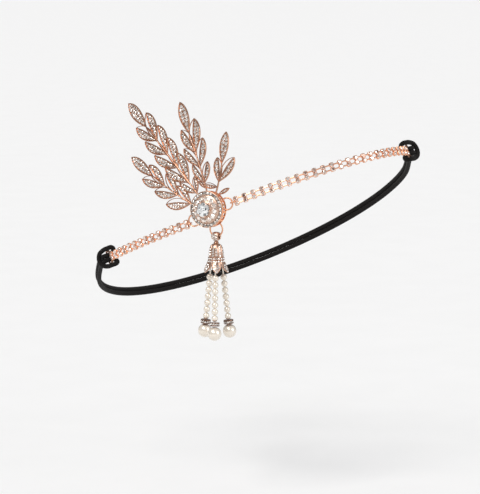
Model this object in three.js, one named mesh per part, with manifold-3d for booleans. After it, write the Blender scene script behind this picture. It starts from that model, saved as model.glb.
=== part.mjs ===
// Pearl tiara headband: a leaf spray round a stone cluster at the right temple, two lengths of
// two-row cup chain, a hanging pearl tassel, and a doubled elastic loop that closes the back.
// Millimetres, +Z up, worn facing -Y. The origin is the middle of the loop.
import * as THREE from 'three';
import { mergeVertices } from 'three/addons/utils/BufferGeometryUtils.js';
import Module from 'manifold-3d';

const wasm = await Module();
wasm.setup();

// The loop is an ellipse in a plane that rises to the front. Angles run from the front to the right.
const loop = { halfLength: 104, halfWidth: 78, tilt: 23.4 };

// Where the cluster sits on the loop, its turn to the back, and how far the spray bends round the temple.
const seat = { angle: 75.8, yaw: -5, lift: 1, out: -1.2, bendRadius: 170 };

// Round cluster: pierced gallery wall, stone seat, cone and collet, measured from its back.
const gallery = {
  radius: 10, wall: 0.9, wallTop: 4, step: 0.2, seatRadius: 10.1, seatTop: 4.9, coneFoot: 7.6, coneUnder: 7,
  sides: 24,
};
const collet = { outer: 4.2, inner: 3.55, foot: 7.6, top: 8.1, mouth: 3.15, mouthAt: 6.7 };
const pierce = { bottom: 0.6, top: 3.2, narrow: 1.7, strutHalf: 3 };
const narrowWindows = [-51, -38, 22, 60, 94, 129, 160, -133.5];
const halo = { count: 20, at: 8.95, girdle: 1.1, table: 0.68, sink: 0.3, rise: 0.55 };
const innerStones = { count: 12, at: 6, girdle: 1.15, table: 0.7, sink: 0.4, rise: 0.7 };
const mainStone = {
  girdle: 3.8, table: 2.2, culetAt: 6.3, girdleAt: 8.65, edge: 0.25, tableAt: 10, sides: 16,
};
const prongs = { count: 6, at: 4.3, width: 0.7, from: 7.4, to: 9.3 };
const stoneSides = 6;
const strutRadius = gallery.radius - gallery.wall / 2;

// Jump rings hook round a strut of the gallery, at these angles round the cluster. The windows beside
// the strut reach so many degrees to its low and high side, to clear the ring.
const wire = 0.9;
const ringPlane = 1.5;
const ringFront = { at: -6, outside: 7.4, strutGap: 1.3, low: 20.5, high: 20.5, dip: 6 };
const ringBack = { at: -168, outside: 7.4, strutGap: 1.3, low: 20.5, high: 20.5, dip: -2 };
const ringDrop = { at: -84, outside: 8.6, strutGap: 1.37, low: 36, high: 21.5, dip: 0 };
const ringSides = 5;
const ringSteps = 12;

// Leaves: an outline with a raised rim, pointed at the stem and blunt at the tip. A side leaf has a rib off
// its middle, with a bed for stones on the outer side and an opening next to the stem. Tip leaves and
// short leaves have one bed and no rib.
const leaf = {
  tipPower: 0.74, sideRatio: 0.4, tipRatio: 0.31, rim: 0.5, rib: 0.45, split: 0.26, height: 1.1, bedTop: 0.65, level: 0.9,
};
const shortestOpenLeaf = 8;
const stem = { width: 1, steps: 4, root: 9.5, intoTip: 0.2 };
const leafStations = [0.25, 0.5, 0.75, 0.92];
const holeStations = [0.25, 0.5, 0.75];
const holeStart = 0.13;
const bedStart = 0.07;

// Each spray leaves the gallery at an angle, heads off and turns as it grows (degrees), and ends in a tip
// leaf. Its pairs are set by distance along the stem, leaf lengths (0 for none) and spread from the stem.
const sprays = [
  { root: 148, heading: 133, turn: -5, length: 33, tip: 20.3, pairs: [
    { along: 2.5, right: 13.5, rightSpread: -20, left: 17, leftSpread: 29 },
    { along: 12.5, right: 14.5, rightSpread: -26, left: 16.5, leftSpread: 22 },
    { along: 23, right: 16.5, rightSpread: -14, left: 17, leftSpread: 18 } ] },
  { root: 111, heading: 110, turn: 11, length: 55, tip: 21.5, pairs: [
    { along: 2, right: 9.5, rightSpread: -29, left: 13, leftSpread: 23 },
    { along: 10, right: 18.5, rightSpread: -14, left: 18.5, leftSpread: 22 },
    { along: 21, right: 19, rightSpread: -17, left: 18.5, leftSpread: 24 },
    { along: 32, right: 18.3, rightSpread: -18, left: 18.5, leftSpread: 22 },
    { along: 43, right: 19, rightSpread: -15, left: 18.5, leftSpread: 18 } ] },
  { root: 77, heading: 87, turn: 10, length: 34.5, tip: 19.7, pairs: [
    { along: 1.8, right: 0, rightSpread: 0, left: 6.5, leftSpread: 32 },
    { along: 5, right: 12, rightSpread: -25, left: 13, leftSpread: 20 },
    { along: 14.5, right: 16, rightSpread: -23, left: 15, leftSpread: 27 },
    { along: 23, right: 19, rightSpread: -15, left: 16.5, leftSpread: 17 } ] },
  { root: 43, heading: 52, turn: 13, length: 16.5, tip: 17.5, pairs: [
    { along: 3.6, right: 0, rightSpread: 0, left: 8.6, leftSpread: 95 },
    { along: 6.5, right: 16, rightSpread: -21, left: 13.5, leftSpread: 18 } ] },
];
const smallLeaf = { root: 34, heading: 8, length: 7.8 };

// Two-row cup chain: octagonal cups with flat-topped stones, soldered in pairs, and a bar per row.
const pair = { pitch: 5.06, rows: 2.66, cup: 1.48, sides: 8, back: -1, girdle: 0.35, table: 0.8, top: 1.05 };
const bar = { width: 0.62, thick: 0.6, level: -0.5, start: 0.9 };
const eye = { radius: 1.3, wire: 0.38, at: -2, sides: 5, steps: 10, pairFromRing: 2.17 };
const frontChain = { pairs: 25, liftEnd: -0.4, settle: 14 };
const backChain = { pairs: 14, liftEnd: 1.1, settle: 14 };

// End loop of the chain: half of its outline, along the chain and across it.
const endLoop = { wire: 0.55, sides: 5, steps: 14 };
const endLoopHalf = [
  { along: 0.6, across: 2.2 },
  { along: 2.4, across: 3.5 },
  { along: 4.6, across: 3.3 },
  { along: 5.2, across: 2 },
];

// Elastic: a cord doubled round the back, hitched on each end loop. The rows follow one strand from
// the tail over the bar, through the loop, round the side and back over the tail.
const elastic = {
  radius: 1.2, strand: 1.35, sides: 6, dip: 17, dipPower: 0.8, arcPoints: 14, stepsPerPoint: 1.2, tail: 20,
};
const chainEndAngles = { back: 126, front: 333 };
const hitch = [
  { along: 12, across: 1.35, out: 0.4 },
  { along: 8.6, across: 1.35, out: 0.95 },
  { along: 5.3, across: 1.35, out: 2.2 },
  { along: 3.1, across: 1.35, out: 0.3 },
  { along: 2.9, across: 1.7, out: -1.9 },
  { along: 1.5, across: 2.9, out: -2.8 },
  { along: 0, across: 4.2, out: -2.2 },
  { along: -0.7, across: 4.9, out: -0.6 },
  { along: 0.8, across: 4.9, out: 0.9 },
  { along: 4, across: 4.8, out: 2 },
  { along: 7, across: 3.4, out: 3.5 },
];
const bight = { along: 8.5, across: 0, out: 4.1 };

// Tassel, measured down from the middle of its bail.
const bail = { hole: 1.35, edge: 1.95, middle: 2.45, half: 2.1, lip: 0.2, overRing: 0.1, sides: 12 };
const neck = { radius: 1.3, from: -1.9, to: -4.4, sides: 10 };
const bell = {
  sides: 12, crown: -3.6, roof: -5.5, shoulder: 2.4, shoulderAt: -6.1, throat: 3.15, throatAt: -9,
};
const bellOutside = [
  { r: 1.2, z: -3.9 }, { r: 2.7, z: -4.7 }, { r: 3.6, z: -6.6 }, { r: 4, z: -9.6 }, { r: 4.1, z: -11.4 },
  { r: 4.6, z: -11.6 }, { r: 4.6, z: -12.7 }, { r: 4.35, z: -12.9 }, { r: 4.75, z: -13.1 },
  { r: 4.75, z: -14.1 },
];
const petal = {
  count: 6, length: 7, half: 2.8, root: 0.55, belly: 1.25, bellyAt: 0.6, thick: 0.8,
  top: -13.4, at: 3.7, flare: 20,
};
const pearl = { radius: 1.8, pitch: 3.65, count: 7, sides: 10, neck: 0.45 };
const string = {
  count: 3, firstAt: -68, top: -15.5, topRadius: 3.55, splay: 6.7, thread: 0.4, firstPearl: 7.4,
};
const rondelle = { rim: 3.15, face: 2.4, half: 1.1, bevel: 0.5, sides: 10 };
const drop = { radius: 3.8, sides: 12, rings: 7 };
const clearance = 0.3;
const planeTolerance = 0.004;

// Finishes
const roseGold = { color: 0xdc9f7e, roughness: 0.2, metalness: 1 };
const crystal = { color: 0xf4f1f3, roughness: 0.06, metalness: 0.1 };
const nacre = { color: 0xf4ebdc, roughness: 0.25, metalness: 0 };
const blackElastic = { color: 0x1c1817, roughness: 0.85, metalness: 0 };

const radians = THREE.MathUtils.degToRad;
const point = (x, y, z = 0) => new THREE.Vector3(x, y, z);

function polar(radius, degrees) {
  const t = radians(degrees);
  return point(radius * Math.cos(t), radius * Math.sin(t));
}

// Solids

function weld(geometry) {
  const bare = new THREE.BufferGeometry();
  bare.setAttribute('position', geometry.attributes.position);
  if (geometry.index) bare.setIndex(geometry.index);
  return mergeVertices(bare, 1e-4);
}

function toSolid(geometry, matrix = new THREE.Matrix4()) {
  const welded = weld(geometry.clone().applyMatrix4(matrix));
  const positions = welded.attributes.position.array;
  const corners = Array.from(welded.index.array);
  const kept = [];
  let volume = 0;
  const [a, b, c] = [point(0, 0), point(0, 0), point(0, 0)];
  for (let k = 0; k < corners.length; k += 3) {
    const [i, j, m] = corners.slice(k, k + 3);
    if (i === j || j === m || m === i) continue;
    kept.push(i, j, m);
    a.fromArray(positions, i * 3);
    b.fromArray(positions, j * 3);
    c.fromArray(positions, m * 3);
    volume += a.dot(b.cross(c)) / 6;
  }
  if (volume < 0) kept.reverse();
  const mesh = new wasm.Mesh({
    numProp: 3,
    vertProperties: new Float32Array(positions),
    triVerts: new Uint32Array(kept),
  });
  return new wasm.Manifold(mesh);
}

function toGeometry(solid) {
  const mesh = solid.getMesh();
  const geometry = new THREE.BufferGeometry();
  geometry.setAttribute('position', new THREE.BufferAttribute(new Float32Array(mesh.vertProperties), 3));
  geometry.setIndex(new THREE.BufferAttribute(new Uint32Array(mesh.triVerts), 1));
  geometry.computeVertexNormals();
  return geometry;
}

// Flat faces that meet in one plane are merged after the join
function join(solids) {
  return solids.reduce((whole, next) => whole.add(next)).asOriginal().simplify(planeTolerance);
}

function place(geometry, position, turn = new THREE.Euler()) {
  const matrix = new THREE.Matrix4().makeRotationFromEuler(turn);
  return toSolid(geometry, matrix.setPosition(position));
}

function part(name, solid, finish) {
  const mesh = new THREE.Mesh(toGeometry(solid), new THREE.MeshStandardMaterial(finish));
  mesh.name = name;
  return mesh;
}

// A turned shape about +Z from rows of radius and height
function turned(rows, sides) {
  const geometry = new THREE.LatheGeometry(rows.map(({ r, z }) => new THREE.Vector2(r, z)), sides);
  return geometry.rotateX(Math.PI / 2);
}

function roundBar(curve, radius, sides, steps) {
  const section = new THREE.Shape();
  for (let k = 0; k < sides; k++) {
    const corner = polar(radius, (360 * k) / sides);
    if (k === 0) section.moveTo(corner.x, corner.y);
    else section.lineTo(corner.x, corner.y);
  }
  return new THREE.ExtrudeGeometry(section, { steps, bevelEnabled: false, extrudePath: curve });
}

function flatPlate(corners, low, high, holes = []) {
  const shape = new THREE.Shape(corners.map(({ x, y }) => new THREE.Vector2(x, y)));
  shape.holes = holes.map((hole) => new THREE.Path(hole.map(({ x, y }) => new THREE.Vector2(x, y))));
  const geometry = new THREE.ExtrudeGeometry(shape, { depth: high - low, bevelEnabled: false });
  return geometry.translate(0, 0, low);
}

// Loop frames

function loopPoint(degrees) {
  const t = radians(degrees);
  return point(-loop.halfWidth * Math.sin(t), -loop.halfLength * Math.cos(t));
}

function loopNormal(degrees) {
  const t = radians(degrees);
  return point(-Math.sin(t) / loop.halfWidth, -Math.cos(t) / loop.halfLength).normalize();
}

// The loop angle a given distance from another, along the loop
function walkLoop(fromDegrees, distance) {
  const step = Math.sign(distance) * 0.02;
  let degrees = fromDegrees;
  let left = Math.abs(distance);
  while (left > 0) {
    left -= loopPoint(degrees).distanceTo(loopPoint(degrees + step));
    degrees += step;
  }
  return degrees;
}

const upward = point(0, 0, 1);

function frameAt(position, normal, yaw = 0) {
  const outward = normal.clone().applyAxisAngle(upward, radians(yaw));
  const along = upward.clone().cross(outward).normalize();
  return new THREE.Matrix4().makeBasis(along, upward, outward).setPosition(position);
}

const seatNormal = loopNormal(seat.angle);
const seatPoint = loopPoint(seat.angle).addScaledVector(upward, seat.lift);
const clusterFrame = frameAt(seatPoint, seatNormal, seat.yaw);
clusterFrame.multiply(new THREE.Matrix4().makeTranslation(0, 0, seat.out));

// Leaf spray, drawn flat and then bent

function leafFullness(t) {
  const widest = 1 / (1 + leaf.tipPower);
  return (t / widest) * ((1 - t) / (1 - widest)) ** leaf.tipPower;
}

function leafSolids({ x, y }, heading, length, stemSide) {
  const openSide = length < shortestOpenLeaf ? 0 : stemSide;
  const ratio = openSide === 0 ? leaf.tipRatio : leaf.sideRatio;
  const half = (t) => (ratio * length * leafFullness(t)) / 2;
  const ribAt = (t) => openSide * leaf.split * half(t);
  const place2d = (t, across) => point(x, y).add(
    point(t * length, across).applyAxisAngle(upward, radians(heading)));
  const outline = [
    place2d(0, 0),
    ...leafStations.map((t) => place2d(t, -half(t))),
    place2d(1, 0),
    ...leafStations.toReversed().map((t) => place2d(t, half(t))),
  ];
  const whole = (start, inset) => [
    place2d(start, 0),
    ...holeStations.map((t) => place2d(t, inset - half(t))),
    place2d(1 - start, 0),
    ...holeStations.toReversed().map((t) => place2d(t, half(t) - inset)),
  ];
  // From the rib to the rim on one side
  const besideRib = (side, start, inset, ribInset) => {
    const rim = (t) => side * (half(t) - inset);
    const rib = (t) => ribAt(t) + side * ribInset;
    const end = (t) => place2d(t, (rim(t) + rib(t)) / 2);
    return [
      end(start),
      ...holeStations.map((t) => place2d(t, rim(t))),
      end(1 - start),
      place2d(0.5, rib(0.5)),
    ];
  };
  const holes = openSide === 0
    ? [whole(holeStart, leaf.rim)]
    : [-1, 1].map((side) => besideRib(side, holeStart, leaf.rim, leaf.rib / 2));
  const bed = openSide === 0
    ? whole(bedStart, leaf.rim / 2)
    : besideRib(-openSide, bedStart, leaf.rim / 2, 0);
  return [
    toSolid(flatPlate(outline, 0, leaf.height, holes)),
    toSolid(flatPlate(bed, 0, leaf.bedTop)),
  ];
}

function stemPoint(spray, along) {
  const start = polar(stem.root, spray.root);
  const pieces = 24;
  for (let k = 0; k < pieces; k++) {
    const heading = spray.heading + (spray.turn * along * (k + 0.5)) / (pieces * spray.length);
    start.add(polar(along / pieces, heading));
  }
  return start;
}

function stemHeading(spray, along) {
  return spray.heading + (spray.turn * along) / spray.length;
}

function stemSolid(spray) {
  const rows = Array.from({ length: stem.steps + 1 }, (_, k) => {
    const along = ((spray.length + stem.intoTip * spray.tip) * k) / stem.steps;
    return { spot: stemPoint(spray, along), heading: stemHeading(spray, along) };
  });
  const edge = (side) => rows.map(
    ({ spot, heading }) => spot.clone().add(polar(stem.width / 2, heading + side * 90)));
  return toSolid(flatPlate([...edge(-1), ...edge(1).reverse()], 0, leaf.height));
}

function sprayFlat() {
  const solids = [];
  for (const spray of sprays) {
    solids.push(stemSolid(spray));
    const end = stemPoint(spray, spray.length);
    solids.push(...leafSolids(end, stemHeading(spray, spray.length), spray.tip, 0));
    for (const row of spray.pairs) {
      const spot = stemPoint(spray, row.along);
      const heading = stemHeading(spray, row.along);
      if (row.right) solids.push(...leafSolids(spot, heading + row.rightSpread, row.right, 1));
      if (row.left) solids.push(...leafSolids(spot, heading + row.leftSpread, row.left, -1));
    }
  }
  const small = polar(stem.root, smallLeaf.root);
  solids.push(...leafSolids(small, smallLeaf.heading, smallLeaf.length, 0));
  return join(solids);
}

function bend(geometry) {
  const spots = geometry.attributes.position;
  for (let k = 0; k < spots.count; k++) {
    const fall = (spots.getX(k) ** 2 + spots.getY(k) ** 2) / (2 * seat.bendRadius);
    spots.setZ(k, spots.getZ(k) + leaf.level - fall);
  }
  return geometry;
}

// Round cluster

function cutStone({ girdle, table, sink, rise }) {
  return turned([{ r: 0, z: -sink }, { r: girdle, z: -sink }, { r: girdle, z: 0 },
    { r: table, z: rise }, { r: 0, z: rise }], stoneSides);
}

function galleryWindow(degrees, width) {
  const box = new THREE.BoxGeometry(3 * gallery.wall, width, pierce.top - pierce.bottom);
  const middle = polar(strutRadius, degrees).setZ((pierce.top + pierce.bottom) / 2);
  return place(box, middle, new THREE.Euler(0, 0, radians(degrees)));
}

function galleryWindows() {
  const cuts = narrowWindows.map((degrees) => galleryWindow(degrees, pierce.narrow));
  const between = (from, to) => {
    const width = 2 * strutRadius * Math.sin(radians(to - from) / 2);
    cuts.push(galleryWindow((from + to) / 2, width));
  };
  for (const ring of [ringFront, ringBack, ringDrop]) {
    between(ring.at - ring.low, ring.at - pierce.strutHalf);
    between(ring.at + pierce.strutHalf, ring.at + ring.high);
  }
  return cuts;
}

function clusterSolid() {
  const inside = gallery.radius - gallery.wall;
  const rows = [
    { r: gallery.radius, z: 0 }, { r: gallery.radius, z: gallery.wallTop },
    { r: gallery.seatRadius, z: gallery.wallTop + gallery.step },
    { r: gallery.seatRadius, z: gallery.seatTop }, { r: gallery.coneFoot, z: gallery.seatTop },
    { r: collet.outer, z: collet.foot },
    { r: collet.outer, z: collet.top }, { r: collet.inner, z: collet.top },
    { r: collet.mouth, z: collet.mouthAt }, { r: gallery.coneUnder, z: gallery.wallTop },
    { r: inside, z: gallery.wallTop - gallery.step }, { r: inside, z: 0 }, { r: gallery.radius, z: 0 },
  ];
  let solid = toSolid(turned(rows, gallery.sides));
  for (const cut of galleryWindows()) solid = solid.subtract(cut);
  const additions = [];
  for (let k = 0; k < halo.count; k++) {
    const spot = polar(halo.at, (360 * (k + 0.5)) / halo.count).setZ(gallery.seatTop);
    additions.push(place(cutStone(halo), spot));
  }
  const slope = (collet.foot - gallery.seatTop) / (gallery.coneFoot - collet.outer);
  const stoneLevel = gallery.seatTop + (gallery.coneFoot - innerStones.at) * slope;
  for (let k = 0; k < innerStones.count; k++) {
    const degrees = (360 * k) / innerStones.count;
    const tilt = new THREE.Euler(0, Math.atan(slope), radians(degrees), 'ZYX');
    additions.push(place(cutStone(innerStones), polar(innerStones.at, degrees).setZ(stoneLevel), tilt));
  }
  const post = new THREE.BoxGeometry(prongs.width / 2, prongs.width, prongs.to - prongs.from);
  for (let k = 0; k < prongs.count; k++) {
    const degrees = (360 * (k + 0.5)) / prongs.count;
    const middle = polar(prongs.at, degrees).setZ((prongs.from + prongs.to) / 2);
    additions.push(place(post, middle, new THREE.Euler(0, 0, radians(degrees))));
  }
  return join([solid, ...additions]);
}

function mainStoneSolid() {
  return toSolid(turned([
    { r: 0, z: mainStone.culetAt }, { r: mainStone.girdle, z: mainStone.girdleAt },
    { r: mainStone.girdle, z: mainStone.girdleAt + mainStone.edge },
    { r: mainStone.table, z: mainStone.tableAt }, { r: 0, z: mainStone.tableAt },
  ], mainStone.sides));
}

// Jump rings, in the cluster's frame

const centreRadius = ({ outside }) => (outside - wire) / 2;
const ringGeometry = (ring) => new THREE.TorusGeometry(centreRadius(ring), wire / 2, ringSides, ringSteps);

// A ring in its hanging direction from the strut, which is the radius unless another is given
function ringMatrix(ring, direction = ring.at) {
  const strut = polar(strutRadius, ring.at).setZ(ringPlane);
  const turn = new THREE.Euler(0, radians(ring.dip), radians(direction), 'ZYX');
  const matrix = new THREE.Matrix4().makeRotationFromEuler(turn).setPosition(strut);
  return matrix.multiply(new THREE.Matrix4().makeTranslation(centreRadius(ring) - ring.strutGap, 0, 0));
}

function ringFarPoint(ring) {
  return point(centreRadius(ring), 0).applyMatrix4(ringMatrix(ring)).applyMatrix4(clusterFrame);
}

// Cup chains

function nearestLoopAngle(spot, around) {
  let best = around;
  for (let degrees = around - 15; degrees < around + 15; degrees += 0.02) {
    if (loopPoint(degrees).distanceTo(spot) < loopPoint(best).distanceTo(spot)) best = degrees;
  }
  return best;
}

// The chain's path by distance from its ring: it settles on the loop within a few pairs
function chainPath(ring, chain, way) {
  const start = ringFarPoint(ring);
  const flat = start.clone().setZ(0);
  const angle = nearestLoopAngle(flat, seat.angle);
  const outStart = flat.sub(loopPoint(angle)).dot(loopNormal(angle));
  const length = eye.pairFromRing + (chain.pairs - 1) * pair.pitch;
  const position = (distance) => {
    const degrees = distance === 0 ? angle : walkLoop(angle, way * distance);
    const lift = THREE.MathUtils.lerp(start.z, chain.liftEnd, distance / length);
    const out = outStart * Math.exp(-Math.max(distance, 0) / chain.settle);
    return loopPoint(degrees).addScaledVector(loopNormal(degrees), out).setZ(lift);
  };
  // Frame of the pair at a distance, with x away from the cluster, y up and z outward
  const frame = (distance) => {
    const spot = position(distance);
    const away = position(distance + 0.5).sub(position(Math.max(distance - 0.5, 0))).normalize();
    const outward = upward.clone().cross(away).multiplyScalar(way).normalize();
    const up = away.clone().cross(outward).multiplyScalar(way);
    return { spot, away, up, outward };
  };
  return { frame, length };
}

const inFrame = ({ spot, away, up, outward }, along, across, out) => spot.clone()
  .addScaledVector(away, along).addScaledVector(up, across).addScaledVector(outward, out);

function frameMatrix({ spot, away, up, outward }) {
  return new THREE.Matrix4().makeBasis(away, up, outward).setPosition(spot);
}

function strut(from, to, width, thick) {
  const length = from.distanceTo(to);
  const matrix = new THREE.Matrix4().lookAt(to, from, upward);
  return toSolid(new THREE.BoxGeometry(thick, width, length), matrix.setPosition(from.clone().lerp(to, 0.5)));
}

function chainSolid(path, chain) {
  const cup = turned([{ r: 0, z: pair.back }, { r: pair.cup, z: pair.back }, { r: pair.cup, z: pair.girdle },
    { r: pair.table, z: pair.top }, { r: 0, z: pair.top }], pair.sides);
  cup.rotateZ(Math.PI / pair.sides);
  const frames = Array.from({ length: chain.pairs }, (_, k) => path.frame(eye.pairFromRing + k * pair.pitch));
  const solids = [];
  frames.forEach((frame, k) => {
    const matrix = frameMatrix(frame);
    for (const side of [-1, 1]) {
      const row = (side * pair.rows) / 2;
      solids.push(toSolid(cup.clone().translate(0, row, 0), matrix));
      if (k === 0) continue;
      const from = inFrame(frames[k - 1], bar.start, row, bar.level);
      solids.push(strut(from, inFrame(frame, -bar.start, row, bar.level), bar.width, bar.thick));
    }
  });
  const eyeRing = new THREE.TorusGeometry(eye.radius, eye.wire, eye.sides, eye.steps);
  eyeRing.rotateX(Math.PI / 2).translate(eye.at, 0, 0);
  solids.push(toSolid(eyeRing, frameMatrix(frames[0])));
  const mirrored = endLoopHalf.toReversed().map(({ along, across }) => point(along, -across));
  const outline = endLoopHalf.map(({ along, across }) => point(along, across)).concat(mirrored);
  const loopBar = roundBar(new THREE.CatmullRomCurve3(outline), endLoop.wire, endLoop.sides, endLoop.steps);
  solids.push(toSolid(loopBar, frameMatrix(frames.at(-1))));
  return { solid: join(solids), end: frames.at(-1) };
}

// Elastic

function elasticCurve(backEnd, frontEnd) {
  const hitchPoints = (end, side) => hitch.map(
    ({ along, across, out }) => inFrame(end, along, side * across, out));
  const tip = (end) => inFrame(end, bight.along, bight.across, bight.out);
  const angleOf = (spot, around) => nearestLoopAngle(spot.clone().setZ(0), around);
  const from = walkLoop(angleOf(backEnd.spot, chainEndAngles.back), elastic.tail);
  const to = walkLoop(angleOf(frontEnd.spot, chainEndAngles.front), -elastic.tail);
  const arc = (side) => Array.from({ length: elastic.arcPoints }, (_, k) => {
    const share = k / (elastic.arcPoints - 1);
    const degrees = THREE.MathUtils.lerp(from, to, share);
    const ends = THREE.MathUtils.lerp(backEnd.spot.z, frontEnd.spot.z, share);
    const lift = ends - elastic.dip * Math.sin(Math.PI * share) ** elastic.dipPower;
    return loopPoint(degrees).setZ(lift + side * elastic.strand);
  });
  const points = [
    tip(backEnd), ...hitchPoints(backEnd, 1).reverse(), ...arc(1), ...hitchPoints(frontEnd, 1),
    tip(frontEnd), ...hitchPoints(frontEnd, -1).reverse(), ...arc(-1).reverse(), ...hitchPoints(backEnd, -1),
  ];
  const curve = new THREE.CatmullRomCurve3(points, true);
  // Even steps per control point, so that the tight bends of the hitch get as many as the long arcs
  curve.getPointAt = (share, target) => curve.getPoint(share, target);
  curve.getTangentAt = (share, target) => curve.getTangent(share, target);
  return curve;
}

// A closed tube has no ends, so it needs no caps
function elasticSolid(backEnd, frontEnd) {
  const curve = elasticCurve(backEnd, frontEnd);
  const steps = Math.round(curve.points.length * elastic.stepsPerPoint);
  return toSolid(new THREE.TubeGeometry(curve, steps, elastic.radius, elastic.sides, true));
}

// Tassel

function bailSolid() {
  const inner = bail.half - bail.lip;
  const rows = [
    { r: bail.hole, z: -inner }, { r: bail.edge, z: -bail.half }, { r: bail.middle, z: -bail.half / 2 },
    { r: bail.middle, z: bail.half / 2 }, { r: bail.edge, z: bail.half }, { r: bail.hole, z: inner },
    { r: bail.hole, z: -inner },
  ];
  return toSolid(turned(rows, bail.sides).rotateY(Math.PI / 2));
}

function bellSolid() {
  const rows = [
    { r: 0, z: bell.crown }, ...bellOutside,
    { r: bell.throat, z: bellOutside.at(-1).z }, { r: bell.throat, z: bell.throatAt },
    { r: bell.shoulder, z: bell.shoulderAt }, { r: 0, z: bell.roof },
  ];
  return toSolid(turned(rows, bell.sides));
}

function petalSolid(k) {
  const root = petal.root * petal.half;
  const belly = petal.belly * petal.half;
  const bellyAt = -petal.bellyAt * petal.length;
  const shape = new THREE.Shape();
  shape.moveTo(-root, 0);
  shape.quadraticCurveTo(-belly, bellyAt, 0, -petal.length);
  shape.quadraticCurveTo(belly, bellyAt, root, 0);
  const sheet = { depth: petal.thick, bevelEnabled: false, curveSegments: 4 };
  const plate = new THREE.ExtrudeGeometry(shape, sheet);
  plate.rotateX(Math.PI / 2).rotateZ(Math.PI / 2);
  const turn = new THREE.Euler(0, -radians(petal.flare), radians((360 * k) / petal.count), 'ZYX');
  const spot = polar(petal.at, (360 * k) / petal.count).setZ(petal.top);
  return place(plate, spot, turn);
}

function tasselHead() {
  const collar = new THREE.CylinderGeometry(neck.radius, neck.radius, neck.from - neck.to, neck.sides);
  collar.rotateX(Math.PI / 2);
  const petals = Array.from({ length: petal.count }, (_, k) => petalSolid(k));
  return join([bailSolid(), place(collar, point(0, 0, (neck.from + neck.to) / 2)), bellSolid(), ...petals]);
}

function pearlString() {
  const rows = [{ r: 0, z: 0 }, { r: string.thread, z: 0 }];
  const neckAngle = Math.asin(pearl.neck / pearl.radius);
  for (let k = 0; k < pearl.count; k++) {
    const centre = -string.firstPearl - k * pearl.pitch;
    for (let ring = 0; ring <= 4; ring++) {
      const angle = THREE.MathUtils.lerp(neckAngle, Math.PI - neckAngle, ring / 4);
      rows.push({ r: pearl.radius * Math.sin(angle), z: centre + pearl.radius * Math.cos(angle) });
    }
  }
  rows.push({ r: 0, z: rows.at(-1).z });
  return toSolid(turned(rows, pearl.sides));
}

function rondelleSolid() {
  const { rim, face, half, bevel, sides } = rondelle;
  return toSolid(turned([{ r: 0, z: -half }, { r: face, z: -half }, { r: rim, z: -half + bevel },
    { r: rim, z: half - bevel }, { r: face, z: half }, { r: 0, z: half }], sides));
}

// Assembly

const tiara = new THREE.Group();
const band = new THREE.Group();
band.rotation.x = -radians(loop.tilt);
tiara.add(band);

const cluster = new THREE.Group();
cluster.applyMatrix4(clusterFrame);
band.add(cluster);

const spray = toSolid(bend(toGeometry(sprayFlat())));
cluster.add(part('brooch_frame', join([clusterSolid(), spray]), roseGold));
cluster.add(part('main_stone', mainStoneSolid(), crystal));
for (const [name, ring] of [['ring_front', ringFront], ['ring_back', ringBack]]) {
  const mesh = part(name, toSolid(ringGeometry(ring)), roseGold);
  mesh.applyMatrix4(ringMatrix(ring));
  cluster.add(mesh);
}

const front = chainSolid(chainPath(ringFront, frontChain, -1), frontChain);
const back = chainSolid(chainPath(ringBack, backChain, 1), backChain);
band.add(part('chain_front', front.solid, roseGold));
band.add(part('chain_back', back.solid, roseGold));
band.add(part('elastic_loop', elasticSolid(back.end, front.end), blackElastic));

// The drop ring hangs straight down from its strut in the cluster's plane, and the tassel below it
tiara.updateMatrixWorld(true);
const toCluster = new THREE.Matrix4().extractRotation(cluster.matrixWorld).invert();
const downInCluster = point(0, 0, -1).applyMatrix4(toCluster).setZ(0).normalize();
const downAngle = THREE.MathUtils.radToDeg(Math.atan2(downInCluster.y, downInCluster.x));
const dropRing = part('drop_ring', toSolid(ringGeometry(ringDrop)), roseGold);
dropRing.applyMatrix4(ringMatrix(ringDrop, downAngle));
cluster.add(dropRing);

tiara.updateMatrixWorld(true);
const bailPoint = dropRing.localToWorld(point(centreRadius(ringDrop) - bail.overRing, 0));
const swingAxis = point(0, 0, 1).transformDirection(dropRing.matrixWorld);
const bailAxis = upward.clone().cross(swingAxis).normalize();
const tassel = new THREE.Group();
tassel.applyMatrix4(new THREE.Matrix4().makeBasis(bailAxis, upward.clone().cross(bailAxis), upward));
tassel.position.copy(bailPoint);
tiara.add(tassel);
tassel.add(part('tassel_head', tasselHead(), roseGold));

for (let k = 0; k < string.count; k++) {
  const strand = new THREE.Group();
  const degrees = string.firstAt + (360 * k) / string.count;
  strand.position.copy(polar(string.topRadius, degrees).setZ(string.top));
  strand.rotation.set(0, -radians(string.splay), radians(degrees), 'ZYX');
  tassel.add(strand);
  strand.add(part(`pearl_string_${k + 1}`, pearlString(), nacre));
  const neckAngle = Math.asin(pearl.neck / pearl.radius);
  const stringEnd = string.firstPearl + (pearl.count - 1) * pearl.pitch + pearl.radius * Math.cos(neckAngle);
  const disc = part(`rondelle_${k + 1}`, rondelleSolid(), roseGold);
  disc.position.z = -stringEnd - clearance - rondelle.half;
  strand.add(disc);
  const ball = new THREE.SphereGeometry(drop.radius, drop.sides, drop.rings).rotateX(Math.PI / 2);
  const bead = part(`large_pearl_${k + 1}`, toSolid(ball), nacre);
  bead.position.z = disc.position.z - rondelle.half - clearance - drop.radius;
  strand.add(bead);
}

export default tiara;
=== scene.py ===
import bmesh
import bpy
import math
from math import cos, pi, radians, sin
from mathutils import Matrix, Vector


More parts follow.
